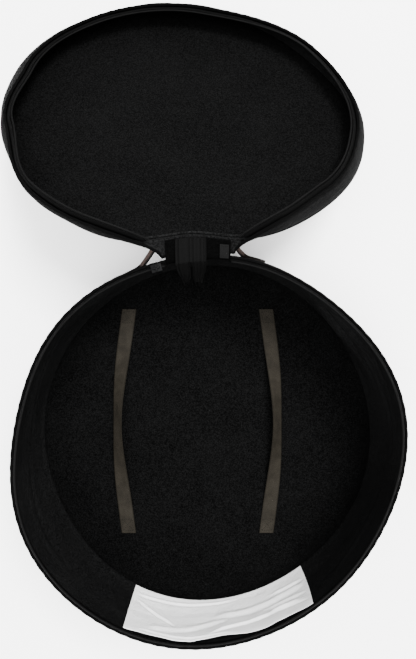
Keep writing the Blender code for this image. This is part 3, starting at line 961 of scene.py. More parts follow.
@dataclass(frozen=True)
class Finishes:
    """Every finish of the box."""

    panel: bpy.types.Material
    wall: bpy.types.Material
    floor: bpy.types.Material
    lid_wall: bpy.types.Material
    hinge: bpy.types.Material
    tape: bpy.types.Material
    coil: bpy.types.Material
    strip: bpy.types.Material
    tab: bpy.types.Material
    metal: bpy.types.Material
    strap: bpy.types.Material
    handle: bpy.types.Material
    web: bpy.types.Material
    cloth: bpy.types.Material
    black_thread: bpy.types.Material
    dark_thread: bpy.types.Material
    white_thread: bpy.types.Material

    @staticmethod
    def mix_all() -> "Finishes":
        """Builds them all."""
        return Finishes(
            panel=FeltFinish("felt_lid_panel", 0.0012, 0.95).make(),
            # Painted light: the body's wall gets a paler colour than the floor and panel of the same felt, with painted
            # shade along its top edge.
            wall=FeltFinish("felt_body_painted_light", 0.0042, 0.85, 0.0763).make(),
            floor=FeltFinish("felt_floor", 0.0014, 0.95).make(),
            # Painted light: the lid's wall gets a paler colour than the panel of the same felt, with painted shade
            # along its top edge.
            lid_wall=FeltFinish("felt_lid_wall_painted_light", 0.0032, 0.85, 0.0165).make(),
            # Painted shade: the hinge's felt is far darker than the rest of the same felt.
            hinge=FeltFinish("felt_hinge_painted_shade", 0.0003).make(),
            tape=WovenFinish("zip_tape_weave", 0.0004).make(),
            coil=HardFinish("zip_coil_nylon", (0.0014, 0.0014, 0.0014), 0.6, 0.03).make(),
            strip=WovenFinish("ribbed_strip_weave", 0.0013, 0.0007).make(),
            tab=WovenFinish("grey_tab_weave", 0.0030, 0.0006).make(),
            metal=HardFinish("slider_enamel", (0.0012, 0.0012, 0.0013), 0.55, 0.03).make(),
            strap=LeatherFinish("hat_strap_leather", (0.0100, 0.0087, 0.0067), (0.0056, 0.0048, 0.0036), 0.010, 0.0, 0.7, 0.03).make(),
            handle=LeatherFinish("handle_leather", (0.0045, 0.0032, 0.0026), (0.074, 0.054, 0.048), 0.010, 0.043, 0.6, 0.05).make(),
            web=WovenFinish("handle_webbing", 0.0026, 0.0016).make(),
            cloth=ClothFinish("pocket_white_cloth", (0.96, 0.96, 0.955)).make(),
            black_thread=ThreadFinish("black_thread", (0.0011, 0.0011, 0.0011)).make(),
            dark_thread=ThreadFinish("dark_thread", (0.0002, 0.0002, 0.0002)).make(),
            white_thread=ThreadFinish("white_thread", (0.85, 0.85, 0.84)).make(),
        )


# Sub-assemblies


@dataclass(frozen=True)
class BodyShell:
    """Felt floor and side wall of the body."""

    form: BodyForm
    columns: int = 360
    rows: int = 32
    seam_height: float = 0.006
    creases: tuple[tuple[float, float, float, float, float], ...] = (
        (42.0, 34.0, 0.36, 0.58, 0.0022),
        (18.0, 30.0, 0.62, 0.44, 0.0016),
        (158.0, 30.0, 0.52, 0.36, 0.0018),
        (205.0, 24.0, 0.42, 0.60, 0.0015),
        (325.0, 26.0, 0.60, 0.42, 0.0016),
        (120.0, 22.0, 0.40, 0.55, 0.0014),
    )

    def wall_face(self, u: float, v: float) -> Vector:
        """Outer face of the wall with its small waves, puckers and the pull of its seam."""
        angle = 360 * u
        place = self.form.point(angle, v)
        soft = smooth(v * 6) * smooth((1 - v) * 7)
        push = 0.0011 * ripple(place, 0.060, 1.0) + 0.0005 * ripple(place, 0.024, 2.0)
        pucker = 0.00022 * bell(v, 1.0, 0.12) * math.sin(math.radians(angle) * 96)
        seam = -0.0007 * bell(v * self.form.height, self.seam_height, 0.0022)
        for centre, spread, first, last, depth in self.creases:
            turn = turn_between(angle, centre) / spread
            away = v - mix(first, last, 0.5 + 0.5 * turn)
            fade = smooth(1.6 * (1 - abs(turn)))
            push += depth * fade * (bell(away, 0.0, 0.030) - 0.8 * bell(away, 0.075, 0.045))
        return place + self.form.facing(angle, v) * (push * soft + pucker + seam)

    def floor_face(self, u: float, v: float) -> Vector:
        """Upper face of the floor, flat at its edge and very slightly wavy inside."""
        place = self.form.base_edge(360 * u) * (1 - v)
        wavy = smooth(v * 5)
        dip = 0.0004 * ripple(place, 0.070, 3.0) - 0.0004
        return place + Vector((0, 0, FELT + min(0.0, dip * wavy)))

    def build(self, finishes: Finishes) -> None:
        """Builds the felt pieces and their seams."""
        around = 2 * math.pi * self.form.rim_radius
        wall = mapped(self.wall_face, self.columns, self.rows, (around, self.form.height), True)
        dress("wall_shell", wall, finishes.wall, Slot.FELT, ["body_wall"], FELT, -1.0, 0.0007)
        floor = mapped(self.floor_face, 180, 24, (around, self.form.base_radius), True)
        dress("floor_felt", floor, finishes.floor, Slot.FELT, ["base_panel"], FELT - 0.0009, -1.0, 0.0006)
        thread = bmesh.new()
        share = self.seam_height / self.form.height
        line = [self.wall_face(i / 720, share) for i in range(721)]
        ups = [self.form.facing(i / 2, share) for i in range(721)]
        Seam().sew(thread, line, ups)
        dress("foot_seam", thread, finishes.black_thread, Slot.FELT)


@dataclass(frozen=True)
class LidShell:
    """Felt panel and side wall of the lid."""

    form: LidForm
    web_y: float = 0.424
    web_x: tuple[float, float] = (-0.161, 0.117)
    box: tuple[float, float] = (0.021, 0.021)
    welt: float = 0.0015

    def wall_face(self, u: float, v: float) -> Vector:
        """Outer face of the wall with its small waves and puckers."""
        angle = 360 * u
        place = self.form.wall(angle, v)
        held = kept(self.form.memo, "free", angle, lambda: 1 - self.form.hinge_share(angle))
        soft = smooth(v * 4) * smooth((1 - v) * 4) * held
        push = 0.0010 * ripple(place, 0.050, 5.0) + 0.0004 * ripple(place, 0.020, 6.0)
        pucker = 0.00018 * bell(v, 1.0, 0.25) * math.sin(math.radians(angle) * 90) * held
        return place + self.form.facing(angle, v) * (push * soft + pucker)

    def panel_face(self, u: float, v: float) -> Vector:
        """Upper face of the panel, that is the inside of the lid, with its soft dips."""
        place = self.form.panel(360 * u, 1 - v) + self.form.normal * FELT
        soft = smooth(v * 6)
        dip = 0.0012 * ripple(place, 0.110, 8.0) + 0.0005 * ripple(place, 0.045, 9.0)
        return place + self.form.normal * dip * soft

    def corner(self, angle: float) -> Vector:
        """Middle of the welt that closes the corner between panel and wall."""
        return self.form.edge(angle) + self.form.inward(angle) * (self.welt + GAP) + self.form.normal * (FELT + 2 * GAP)

    def on_panel(self, x: float, y: float, lift: float = 0.0) -> Vector:
        """Point of the panel's upper face over a place on the ground."""
        base = Vector((x, y, self.form.panel_height(x, y)))
        place = base + self.form.normal * FELT
        dip = 0.0012 * ripple(place, 0.110, 8.0) + 0.0005 * ripple(place, 0.045, 9.0)
        return place + self.form.normal * (dip + lift)

    def box_stitch(self, bm: bmesh.types.BMesh, x: float) -> None:
        """Sews a box with a cross through the panel, where the web's end is held below."""
        wide, tall = self.box[0] / 2, self.box[1] / 2
        corners = [(-wide, -tall), (wide, -tall), (wide, tall), (-wide, tall)]
        lines = [(corners[i], corners[(i + 1) % 4]) for i in range(4)]
        lines += [(corners[0], corners[2]), (corners[1], corners[3])]
        for (ax, ay), (bx, by) in lines:
            spots = [self.on_panel(x + mix(ax, bx, s), self.web_y + mix(ay, by, s), 0.0001) for s in steps(0, 1, 8)]
            Seam(0.0030, 0.0006, 0.0015).sew(bm, spots, [self.form.normal] * len(spots))

    def build(self, finishes: Finishes) -> None:
        """Builds the felt pieces and their seams."""
        around = math.pi * (self.form.half_width + self.form.half_reach)
        wall = mapped(self.wall_face, 360, 14, (around, self.form.depth), True)
        dress("lid_wall_shell", wall, finishes.lid_wall, Slot.FELT, ["lid_wall"], FELT, -1.0, 0.0007)
        panel = mapped(self.panel_face, 216, 44, (around, self.form.half_width), True)
        dress("lid_panel_felt", panel, finishes.panel, Slot.FELT, ["lid_panel"], FELT, -1.0, 0.0006)
        welt = tube([self.corner(angle) for angle in steps(0, 360, 241)[:-1]], self.welt, 8, True)
        dress("lid_foot_welt", welt, finishes.lid_wall, Slot.FELT)
        thread = bmesh.new()
        for x in self.web_x:
            self.box_stitch(thread, x)
        dress("lid_box_stitches", thread, finishes.dark_thread, Slot.FELT)


@dataclass(frozen=True)
class ZipHalf:
    """Tape, coil and seam round one rim."""

    name: str
    frame_at: Callable[[float], tuple[Vector, Vector, Vector]]
    first: float
    last: float
    tape: float = 0.0012
    coil: float = 0.0028
    pitch: float = 0.00145
    profile: tuple[tuple[float, float], ...] = ((0.0039, -0.0060), (0.0039, 0.0006), (0.0060, 0.0030))
    memo: dict = field(default_factory=dict, compare=False, repr=False)

    def spot(self, angle: float, inward_by: float, up_by: float) -> Vector:
        """Point beside the rim."""
        top, inward, up = self.frame_at(angle)
        return top + inward * inward_by + up * up_by

    def across(self, v: float) -> tuple[float, float]:
        """Tape's section from its sewn edge to its free edge, with a soft bend."""

        def place() -> tuple[float, float]:
            """Reads the rounded section."""
            spot = along_path(rounded([Vector((*row, 0)) for row in self.profile], 2), v)
            return spot.x, spot.y

        return kept(self.memo, "across", v, place)

    def coil_spot(self) -> tuple[float, float]:
        """Middle of the coil beside the rim."""
        (ax, ay), (bx, by) = self.profile[-2:]
        run = Vector((bx - ax, by - ay)).normalized() * (self.coil / 2 + 2 * GAP)
        return bx + run.x, by + run.y

    def build(self, finishes: Finishes) -> None:
        """Builds the tape, the coil's core and turns, and the seam."""
        line = [self.spot(angle, 0, 0) for angle in steps(self.first, self.last, 361)]
        around = span(line)

        def face(u: float, v: float) -> Vector:
            """Point of the tape."""
            wave = 0.00015 * math.sin(u * around / 0.011)
            inward_by, up_by = self.across(v)
            return self.spot(mix(self.first, self.last, u), inward_by + wave, up_by)

        tape = mapped(face, 360, 7, (around, 0.010))
        dress(f"{self.name}_tape_weave", tape, finishes.tape, Slot.ZIP_TAPE, [f"{self.name}_zip_tape"], 0.0010, 0.0, 0.0002)
        inward_by, up_by = self.coil_spot()
        core = [self.spot(angle, inward_by, up_by) for angle in steps(self.first, self.last, 361)]
        turns = tube(core, self.coil * 0.34, 8)
        spots = evenly(core, round(span(core) / self.pitch))
        up_at = [self.frame_at(angle)[2] for angle in steps(self.first, self.last, len(spots))]
        size = (self.coil * 0.56, self.pitch * 0.36, self.coil * 0.46)
        places = []
        for i, (spot, up) in enumerate(zip(spots, up_at)):
            run = (spots[min(i + 1, len(spots) - 1)] - spots[max(i - 1, 0)]).normalized()
            side = run.cross(up).normalized() + run * 0.22
            places.append(frame_matrix(spot, side, up, size))
        beads(turns, places, 7, 4)
        dress(f"{self.name}_coil_turns", turns, finishes.coil, Slot.ZIP_COIL, [f"{self.name}_zip_coil"])
        thread = bmesh.new()
        sewn_in, sewn_up = self.profile[0][0] + 0.0006, -0.0030
        seam = [self.spot(angle, sewn_in, sewn_up) for angle in steps(self.first, self.last, 241)]
        inward = [self.frame_at(angle)[1] for angle in steps(self.first, self.last, 241)]
        Seam(0.0028, 0.0010, 0.0005).sew(thread, seam, inward)
        dress(f"{self.name}_zip_seam", thread, finishes.black_thread, Slot.ZIP_TAPE)


@dataclass(frozen=True)
class Hinge:
    """Felt piece over the joint, its ribbed strip with two tails, and the grey tab at the zip's end."""

    body: BodyForm
    lid: LidForm
    felt: float = 0.002
    lap: float = 0.012
    ease: float = 0.0006
    rows: tuple[float, ...] = (0.80, 0.50, 0.10)
    strip_x: float = -0.0178
    strip_width: float = 0.034
    strip_thick: float = 0.0016
    ribs: int = 7
    rib_depth: float = 0.0008
    tail: float = 0.046
    tail_lean: float = 24.0
    notch: float = 0.0018
    tab_x: float = 0.0190
    tab_width: float = 0.010
    tab_thick: float = 0.0014
    memo: dict = field(default_factory=dict, compare=False, repr=False)

    def bent(self, x: float, depth: float, first: int = 0) -> list[Vector]:
        """The path over the hinge from a numbered point on, with rounded corners."""
        return kept(self.memo, f"bent {depth:.6f} {first}", x, lambda: rounded(self.path(x, depth)[first:], 2))

    def path(self, x: float, depth: float) -> list[Vector]:
        """Path over the hinge at one X, from inside the body to the lid's panel, that far above the walls.

        Args:
            x: place across the hinge.
            depth: distance from the felt walls, beyond the clearance.

        Returns:
            Points with mitred corners.
        """
        body, lid = self.body.angle_at(x, 1.0), self.lid.angle_at(x)
        points = [self.body.inside(body, share, FELT) for share in (1 - self.lap / self.body.height, 1.0)]
        points += [self.lid.inside(lid, share, FELT + self.ease) for share in self.rows]
        sides = []
        for start, end in zip(points, points[1:]):
            run = Vector((0, end.y - start.y, end.z - start.z)).normalized()
            sides.append(Vector((0, -run.z, run.y)))
        moved = []
        for point, before, after in zip(points, sides[:1] + sides, sides + sides[-1:]):
            moved.append(point + (before + after) * ((GAP + depth) / (1 + before.dot(after))))
        return moved

    def felt_face(self, u: float, v: float) -> Vector:
        """Middle of the hinge's felt."""
        x = mix(self.lid.hinge_left, self.lid.hinge_right, u)
        place = along_path(self.bent(x, self.felt / 2), v)
        return place + Vector((0, 0, 0.0004 * ripple(place, 0.012, 11.0)))

    def rib(self, u: float) -> float:
        """Height of the ribs at a share across the strip, uneven as on limp ribbed cloth."""
        turn = 2 * math.pi * u
        swell = 0.65 + 0.35 * math.sin(2.3 * turn + 1.0)
        return self.rib_depth * swell * math.sin(self.ribs * turn + 1.4 * math.sin(1.5 * turn))

    def strip_face(self, u: float, v: float) -> Vector:
        """Middle of the ribbed strip, from the lid's end down to the inside of the body's wall."""
        x = mix(self.strip_x - self.strip_width / 2, self.strip_x + self.strip_width / 2, u)
        path = self.bent(x, self.felt + GAP + self.strip_thick / 2 + 0.0005, 1)
        return along_path(path, 1 - v) + Vector((0, -0.5, 0.86)) * self.rib(u)

    def tail_face(self, side: int, u: float, v: float) -> Vector:
        """Middle of one tail, which hangs from the wall's edge into the body.

        Args:
            side: -1 for the left tail and 1 for the right one.
            u: share across the tail.
            v: share down the tail.

        Returns:
            The point.
        """
        half = self.strip_width / 2
        inner, outer = side * 0.0010, side * half
        share = u if side > 0 else 1 - u
        x = self.strip_x + mix(inner, outer, share)
        taper = -(x - self.strip_x) * (0.62 if side < 0 else 0.36) * v ** 1.6 * share
        root = self.bent(x, self.felt + GAP + self.strip_thick / 2 + 0.0005, 1)[0]
        lean = math.radians(self.tail_lean)
        fall = self.tail * v
        sway = taper + side * self.notch * v + 0.0012 * math.sin(v * 5 + side) * v
        drop = Vector((sway, -fall * math.sin(lean), -fall * math.cos(lean)))
        rib = self.rib((x - self.strip_x + half) / self.strip_width)
        curl = 0.0016 * math.sin(v * 4.2 + side * 0.8 + share * 2) * v
        return root + drop + Vector((0, -0.9, 0.4)) * (rib + curl)

    def threads(self) -> bmesh.types.BMesh:
        """Loose threads at the ends of the tails."""
        bm = bmesh.new()
        for i in range(9):
            side = -1 if i % 2 else 1
            start = self.tail_face(side, 0.1 + 0.8 * ((i * 0.37) % 1), 1.0)
            points = [start]
            for j in range(1, 7):
                sway = Vector((noise.noise(start * 90 + Vector((j, i, 0))), noise.noise(start * 70 + Vector((i, j, 3))), 0))
                points.append(points[-1] + Vector((0, -0.0006, -0.0016)) + sway * 0.0012)
            add_to(bm, tube(points, 0.00022, 5))
        return bm

    def tab_face(self, u: float, v: float) -> Vector:
        """Middle of the grey tab."""
        x = self.tab_x + self.tab_width * (u - 0.5)
        path = self.bent(x, self.felt + GAP + self.tab_thick / 2, 1)
        return along_path(path, 0.16 + 0.56 * v) + Vector((0, -0.5, 0.86)) * 0.0003 * math.sin(math.pi * v)

    def build(self, finishes: Finishes) -> None:
        """Builds the hinge's pieces."""
        width = self.lid.hinge_right - self.lid.hinge_left
        felt = mapped(self.felt_face, 48, 24, (width, 0.035))
        dress("hinge_felt", felt, finishes.hinge, Slot.FELT, ["hinge_panel"], self.felt, 0.0, 0.0005)
        strip = mapped(self.strip_face, 88, 16, (self.strip_width, 0.020))
        for side in (-1, 1):
            add_to(strip, mapped(lambda u, v: self.tail_face(side, u, v), 44, 22, (self.strip_width / 2, self.tail)))
        bmesh.ops.recalc_face_normals(strip, faces=strip.faces)
        dress("ribbed_strip", strip, finishes.strip, Slot.RIBBED_STRIP, ["hinge_strip"], 0.0010, 0.0, 0.0002)
        dress("strip_threads", self.threads(), finishes.black_thread, Slot.RIBBED_STRIP)
        tab = mapped(self.tab_face, 10, 10, (self.tab_width, 0.009))
        dress("zip_tab", tab, finishes.tab, Slot.GREY_TAB, ["zip_end_tab"], self.tab_thick, 0.0, 0.0003)
        thread = bmesh.new()
        for v in (0.12, 0.88):
            spots = [self.tab_face(u, v) + Vector((0, -0.0004, 0.0007)) for u in steps(0.08, 0.92, 8)]
            Seam(0.0016, 0.0006, 0.0004).sew(thread, spots, [Vector((0, -0.5, 0.86))] * 8)
        for x in (self.strip_x - 0.0150, self.strip_x + 0.0150):
            path = self.path(x, self.felt + GAP + self.strip_thick + 0.0010)
            spots = rounded(path[1:], 2)
            Seam(0.0024, 0.0009, 0.0005).sew(thread, spots, [Vector((0, -0.5, 0.86))] * len(spots))
        dress("hinge_stitches", thread, finishes.black_thread, Slot.RIBBED_STRIP)


@dataclass(frozen=True)
class HatStrap:
    """Strap over the floor: flat sewn ends and a low arch between them, turned on edge and bowed outward."""

    name: str
    x: float
    side: int
    front: float = -0.140
    back: float = 0.170
    width: float = 0.020
    thick: float = 0.0015
    arch: float = 0.016
    twist: float = 50.0
    flat_end: float = 0.024
    bow: float = 0.0135

    def face(self, u: float, v: float) -> Vector:
        """Middle of the strap."""
        length = self.back - self.front
        y = mix(self.front, self.back, u)
        from_end = min(y - self.front, self.back - y)
        rise = smooth((from_end - self.flat_end) / (length / 2 - self.flat_end))
        turn = math.radians(self.twist) * rise
        half = Vector((math.cos(turn), 0, -self.side * math.sin(turn))) * (self.width * (v - 0.5))
        bow = self.side * self.bow * math.sin(math.pi * u)
        rest = FELT + GAP + self.thick / 2
        return Vector((self.x + bow, y, rest + self.arch * rise)) + half

    def build(self, finishes: Finishes) -> None:
        """Builds the strap and its stitches."""
        strap = mapped(self.face, 120, 8, (self.back - self.front, self.width))
        dress(f"{self.name}_leather", strap, finishes.strap, Slot.HAT_STRAP, [self.name], self.thick, 0.0, 0.0004)
        thread = bmesh.new()
        up = Vector((0, 0, 1))
        for first, last in ((0.012, 0.062), (0.938, 0.988)):
            corners = [(first, 0.14), (last, 0.14), (last, 0.86), (first, 0.86), (first, 0.14)]
            lines = list(zip(corners, corners[1:])) + [(corners[0], corners[2]), (corners[1], corners[3])]
            for (au, av), (bu, bv) in lines:
                spots = [self.face(mix(au, bu, s), mix(av, bv, s)) + up * 0.0008 for s in steps(0, 1, 6)]
                Seam(0.0024, 0.0008, 0.0004).sew(thread, spots, [up] * 6)
        dress(f"{self.name}_stitches", thread, finishes.black_thread, Slot.HAT_STRAP)


@dataclass(frozen=True)
class BackHandle:
    """Flat leather handle on the back wall."""

    body: BodyForm
    x: float = -0.018
    span: float = 0.126
    reach: float = 0.034
    width: float = 0.020
    thick: float = 0.0042
    height: float = 0.070
    half_path: tuple[tuple[float, float], ...] = (
        (1.42, 0.00),
        (1.22, 0.00),
        (1.04, 0.00),
        (0.92, 0.20),
        (0.78, 0.52),
        (0.58, 0.79),
        (0.30, 0.95),
        (0.00, 1.00),
    )

    @cached_property
    def line(self) -> list[Vector]:
        """The handle's line from end to end, along and out as shares, with rounded bends."""
        left = [Vector((-a, b, 0)) for a, b in self.half_path]
        right = [Vector((a, b, 0)) for a, b in self.half_path[-2::-1]]
        return rounded(left + right, 2)

    def face(self, u: float, v: float) -> Vector:
        """Middle of the leather."""
        along, out, _ = along_path(self.line, u)
        z = self.height + self.width * (v - 0.5)
        share = (z - self.body.foot) / self.body.height
        angle = self.body.angle_at(self.x + along * self.span / 2, share)
        sewn = self.body.inside(angle, share, -(2 * GAP + self.thick / 2))
        return sewn + Vector((0, self.reach * out, 0))

    def build(self, finishes: Finishes) -> None:
        """Builds the handle."""
        length = self.span * 1.9
        leather = mapped(self.face, 110, 8, (length, self.width))
        bmesh.ops.recalc_face_normals(leather, faces=leather.faces)
        dress("handle_strap", leather, finishes.handle, Slot.HANDLE_LEATHER, ["back_handle"], self.thick, 0.0, 0.0010)


@dataclass(frozen=True)
class LidHandle:
    """Web handle below the drooping lid."""

    lid: LidForm
    x: float = -0.022
    y: float = 0.424
    span: float = 0.306
    width: float = 0.027
    thick: float = 0.002
    drop: float = 0.026
    flat_end: float = 0.028
    clearance: float = 0.0008

    def face(self, u: float, v: float) -> Vector:
        """Middle of the web."""
        half = self.span / 2
        across = mix(-half, half, u)
        share = max(0.0, (half - abs(across) - self.flat_end) / (half - self.flat_end))
        drop = self.drop * (1 - (1 - share) ** 2) * smooth(share * 6)
        y = self.y + self.width * (v - 0.5)
        z = self.lid.panel_height(self.x + across, y) - self.clearance - self.thick / 2 - drop
        return Vector((self.x + across, y, z))

    def build(self, finishes: Finishes) -> None:
        """Builds the web and its box stitches."""
        web = mapped(self.face, 120, 8, (self.span, self.width))
        dress("handle_web", web, finishes.web, Slot.WEBBING, ["lid_handle"], self.thick, 0.0, 0.0004)
        thread = bmesh.new()
        down = -self.lid.normal
        for first, last in ((0.012, 0.082), (0.918, 0.988)):
            corners = [(first, 0.12), (last, 0.12), (last, 0.88), (first, 0.88), (first, 0.12)]
            lines = list(zip(corners, corners[1:])) + [(corners[0], corners[2]), (corners[1], corners[3])]
            for (au, av), (bu, bv) in lines:
                spots = [self.face(mix(au, bu, s), mix(av, bv, s)) + down * 0.0011 for s in steps(0, 1, 6)]
                Seam(0.0026, 0.0008, 0.0005).sew(thread, spots, [down] * 6)
        dress("web_stitches", thread, finishes.black_thread, Slot.WEBBING)


@dataclass(frozen=True)
class Pocket:
    """White slip pocket on the inside of the front wall, wrinkled and loose along its mouth."""

    body: BodyForm
    left: float = 245.0
    right: float = 305.0
    foot: float = 0.03
    mouth: float = 0.93
    slack: float = 0.0028
    dip: float = 0.05
    cloth: float = 0.0012
    creases: tuple[tuple[float, float, float, float, float, float, float], ...] = (
        (0.02, 0.26, 0.22, 0.62, 0.00, 0.022, 1.0),
        (0.40, 1.10, 0.92, 0.93, 0.26, 0.024, 1.6),
        (0.42, 1.12, 0.42, 0.34, 0.02, 0.050, 1.5),
        (0.10, 0.56, 0.80, 0.46, -0.03, 0.050, 1.1),
        (-0.10, 0.62, 0.15, 0.06, 0.00, 0.020, 0.9),
        (0.72, 1.20, 0.62, 0.86, 0.02, 0.020, 1.1),
        (0.76, 1.20, 0.22, 0.26, 0.00, 0.024, 1.0),
        (0.70, 1.20, 0.50, 0.66, 0.03, 0.028, 0.9),
        (0.04, 0.60, 0.91, 0.94, 0.00, 0.014, 0.8),
    )

    def fold(self, u: float, v: float) -> float:
        """Height of the creases, each a ridge beside a valley that fades out at its ends."""
        total = 0.0
        for start, end, first, last, bend, width, height in self.creases:
            share = (u - start) / (end - start)
            if 0 < share < 1:
                away = v - mix(first, last, share) + bend * 4 * share * (1 - share)
                ridge = bell(away, 0.0, width) - 0.8 * bell(away, 1.5 * width, width)
                total += height * ridge * smooth(6 * share) * smooth(6 * (1 - share))
        return total

    def face(self, u: float, v: float) -> Vector:
        """Middle of the cloth."""
        angle = mix(self.left, self.right, u)
        across = math.sin(math.pi * u)
        level = mix(self.foot, self.mouth, v)
        loose = v ** 0.9
        wave = 0.5 + 0.5 * math.sin(2.5 * 2 * math.pi * u)
        slack = self.slack * loose * across * (0.4 + 0.6 * wave)
        share = level - self.dip * loose * wave * across
        place = self.body.point(angle, share)
        edge = smooth(12 * u) * smooth(12 * (1 - u)) * smooth(12 * v)
        crumple = (0.0013 * self.fold(u, v) + 0.0005 * ripple(place, 0.018, 21.0) + 0.0002 * ripple(place, 0.007, 22.0)) * edge
        return self.body.inside(angle, share, FELT + 2 * GAP + self.cloth / 2 + slack + crumple)

    def build(self, finishes: Finishes) -> None:
        """Builds the cloth, its hem and its side seams."""
        width = span([self.face(u, 0.6) for u in steps(0, 1, 40)])
        height = span([self.face(0.5, v) for v in steps(0, 1, 20)])
        cloth = mapped(self.face, 220, 90, (width, height))
        bmesh.ops.reverse_faces(cloth, faces=cloth.faces)
        sheet = dress("pocket_sheet", cloth, finishes.cloth, Slot.POCKET_CLOTH, ["inner_pocket"], 0.0006, 0.0)
        thread = bmesh.new()
        normals = []
        edges = [[(0.02, v) for v in steps(0.02, 0.98, 30)], [(0.98, v) for v in steps(0.02, 0.98, 30)]]
        edges += [[(u, 0.965) for u in steps(0.02, 0.98, 60)], [(u, 0.02) for u in steps(0.02, 0.98, 60)]]
        for edge in edges:
            spots, normals = [], []
            for u, v in edge:
                inward = -self.body.facing(mix(self.left, self.right, u), mix(self.foot, self.mouth, v))
                spots.append(self.face(u, v) + inward * 0.0004)
                normals.append(inward)
            Seam(0.0026, 0.0010, 0.0004).sew(thread, spots, normals)
        seams = dress("pocket_seams", thread, finishes.white_thread, Slot.POCKET_CLOTH)


@dataclass(frozen=True)
class Slider:
    """Zip slider over the coil, and its pull that hangs inside the wall."""

    top: Vector
    inward: Vector
    seat: tuple[float, float]
    coil: float = 0.0028

    def block(self, size: tuple[float, float, float], place: Vector, edge: float) -> bmesh.types.BMesh:
        """Block with rounded edges, whose width runs inward.

        Args:
            size: length along the zip, width inward and height.
            place: its middle.
            edge: radius of its edges.

        Returns:
            The block.
        """
        bm = bmesh.new()
        along = Vector((self.inward.y, -self.inward.x, 0))
        bmesh.ops.create_cube(bm, size=1.0, matrix=frame_matrix(place, along, Vector((0, 0, 1)), size))
        bmesh.ops.bevel(
            bm, geom=bm.edges[:], offset=edge, segments=3, profile=0.5, affect="EDGES", material=-1
        )
        return bm

    def build(self, finishes: Finishes) -> None:
        """Builds the slider's two plates, its bridge and the pull."""
        under = self.seat[1] + self.coil / 2 + GAP
        middle = self.top + self.inward * self.seat[0] + Vector((0, 0, under))
        body = self.block((0.012, 0.009, 0.0012), middle + Vector((0, 0, 0.0006)), 0.0005)
        add_to(body, self.block((0.008, 0.0030, 0.0026), middle + Vector((0, 0, 0.0024)), 0.0010))
        add_to(body, self.block((0.0022, 0.0072, 0.0014), middle + Vector((0, 0, 0.0030)), 0.0005))
        dress("slider_body", body, finishes.metal, Slot.ZIP_METAL, ["zip_slider"])
        hang = self.seat[0] + self.coil / 2 + 2 * GAP + 0.0008
        spot = self.top + self.inward * hang + Vector((0, 0, under - GAP))
        pull = self.block((0.006, 0.0014, 0.018), spot - Vector((0, 0, 0.0165)), 0.0006)
        along = Vector((self.inward.y, -self.inward.x, 0))
        ring = []
        for turn in steps(0, 2 * math.pi, 25)[:-1]:
            ring.append(spot + along * math.cos(turn) * 0.0024 + Vector((0, 0, math.sin(turn) * 0.0042 - 0.0045)))
        add_to(pull, tube(ring, 0.0006, 8, True))
        dress("slider_pull", pull, finishes.metal, Slot.ZIP_METAL, ["zip_pull"])


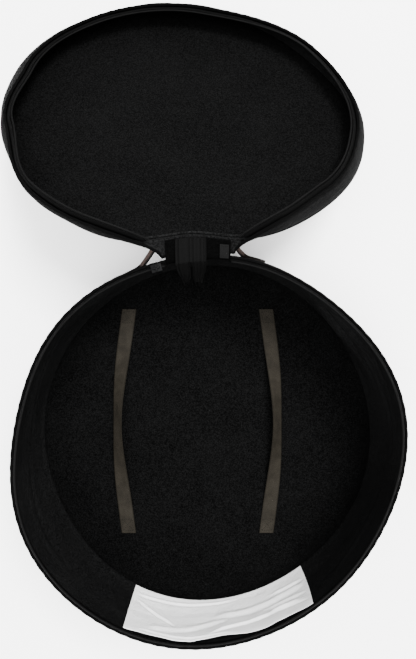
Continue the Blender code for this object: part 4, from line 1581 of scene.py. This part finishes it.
@dataclass(frozen=True)
class Studio:
    """Pale floor, soft light and the camera straight above."""

    camera_at: tuple[float, float, float] = (0.0, 0.1325, 0.73)
    focal_px: float = 522.0
    frame_px: tuple[int, int] = (416, 659)
    nadir_px: tuple[float, float] = (207.0, 336.0)

    def floor(self) -> None:
        """Pale floor."""
        bm = bmesh.new()
        bmesh.ops.create_grid(bm, x_segments=8, y_segments=8, size=6.0)
        g = Graph("pale_floor")
        g.set(Base_Color=(0.94, 0.94, 0.94, 1.0), Roughness=0.9, Specular_IOR_Level=0.1)
        mesh = bpy.data.meshes.new("floor")
        bm.to_mesh(mesh)
        bm.free()
        mesh.materials.append(g.material)
        thing = bpy.data.objects.new("floor", mesh)
        bpy.context.scene.collection.objects.link(thing)
        thing.location.z = -0.0002

    def light(self, name: str, place: tuple[float, float, float], size: float, watts: float) -> None:
        """Soft square light that faces the box."""
        data = bpy.data.lights.new(name, "AREA")
        data.size = size
        data.energy = watts
        thing = bpy.data.objects.new(name, data)
        thing.location = place
        thing.rotation_euler = (Vector((0, 0.15, 0.05)) - Vector(place)).to_track_quat("-Z", "Y").to_euler()
        bpy.context.scene.collection.objects.link(thing)

    def world(self, strength: float) -> None:
        """Even pale light from all round."""
        world = bpy.data.worlds.new("studio")
        world.use_nodes = True
        sky = world.node_tree.nodes["Background"]
        sky.inputs["Color"].default_value = (1.0, 1.0, 1.0, 1.0)
        sky.inputs["Strength"].default_value = strength
        bpy.context.scene.world = world

    def camera(self) -> None:
        """Camera that looks down with +Y up in the picture."""
        data = bpy.data.cameras.new("camera")
        data.sensor_width = 36.0
        data.sensor_fit = "AUTO"
        data.lens = self.focal_px * data.sensor_width / max(self.frame_px)
        data.clip_start = 0.01
        thing = bpy.data.objects.new("camera", data)
        thing.location = self.camera_at
        tilt = math.atan((self.nadir_px[1] - self.frame_px[1] / 2) / self.focal_px)
        lean = math.atan((self.frame_px[0] / 2 - self.nadir_px[0]) / self.focal_px)
        thing.rotation_euler = (tilt, -lean, 0.0)
        bpy.context.scene.collection.objects.link(thing)
        bpy.context.scene.camera = thing

    def build(self) -> None:
        """Builds the studio."""
        self.floor()
        self.world(3.3)
        self.light("key", (0.6, 1.0, 2.4), 0.9, 225.0)
        self.light("fill", (-0.2, -0.5, 2.4), 1.2, 90.0)
        self.camera()


def main() -> None:
    """Builds the box and the studio."""
    logging.basicConfig(level=logging.INFO, format="%(message)s")
    finishes = Finishes.mix_all()
    body, lid = BodyForm(), LidForm()
    BodyShell(body).build(finishes)
    LidShell(lid).build(finishes)
    first = body.angle_at(lid.hinge_left - 0.002, 1.0)
    last = body.angle_at(lid.hinge_right + 0.002, 1.0) + 360
    around = ZipHalf("body", body.rim_frame, first, last)
    around.build(finishes)
    ZipHalf("lid", lid.rim_frame, lid.angle_at(lid.hinge_right + 0.028), lid.angle_at(lid.hinge_left - 0.040) + 360).build(finishes)
    Hinge(body, lid).build(finishes)
    HatStrap("hat_strap_left", -0.108, -1).build(finishes)
    HatStrap("hat_strap_right", 0.082, 1).build(finishes)
    BackHandle(body).build(finishes)
    LidHandle(lid).build(finishes)
    Pocket(body).build(finishes)
    top, inward, _ = body.rim_frame(first + 2.5)
    Slider(top, inward, around.coil_spot()).build(finishes)
    Studio().build()


if __name__ == "__main__":
    main()
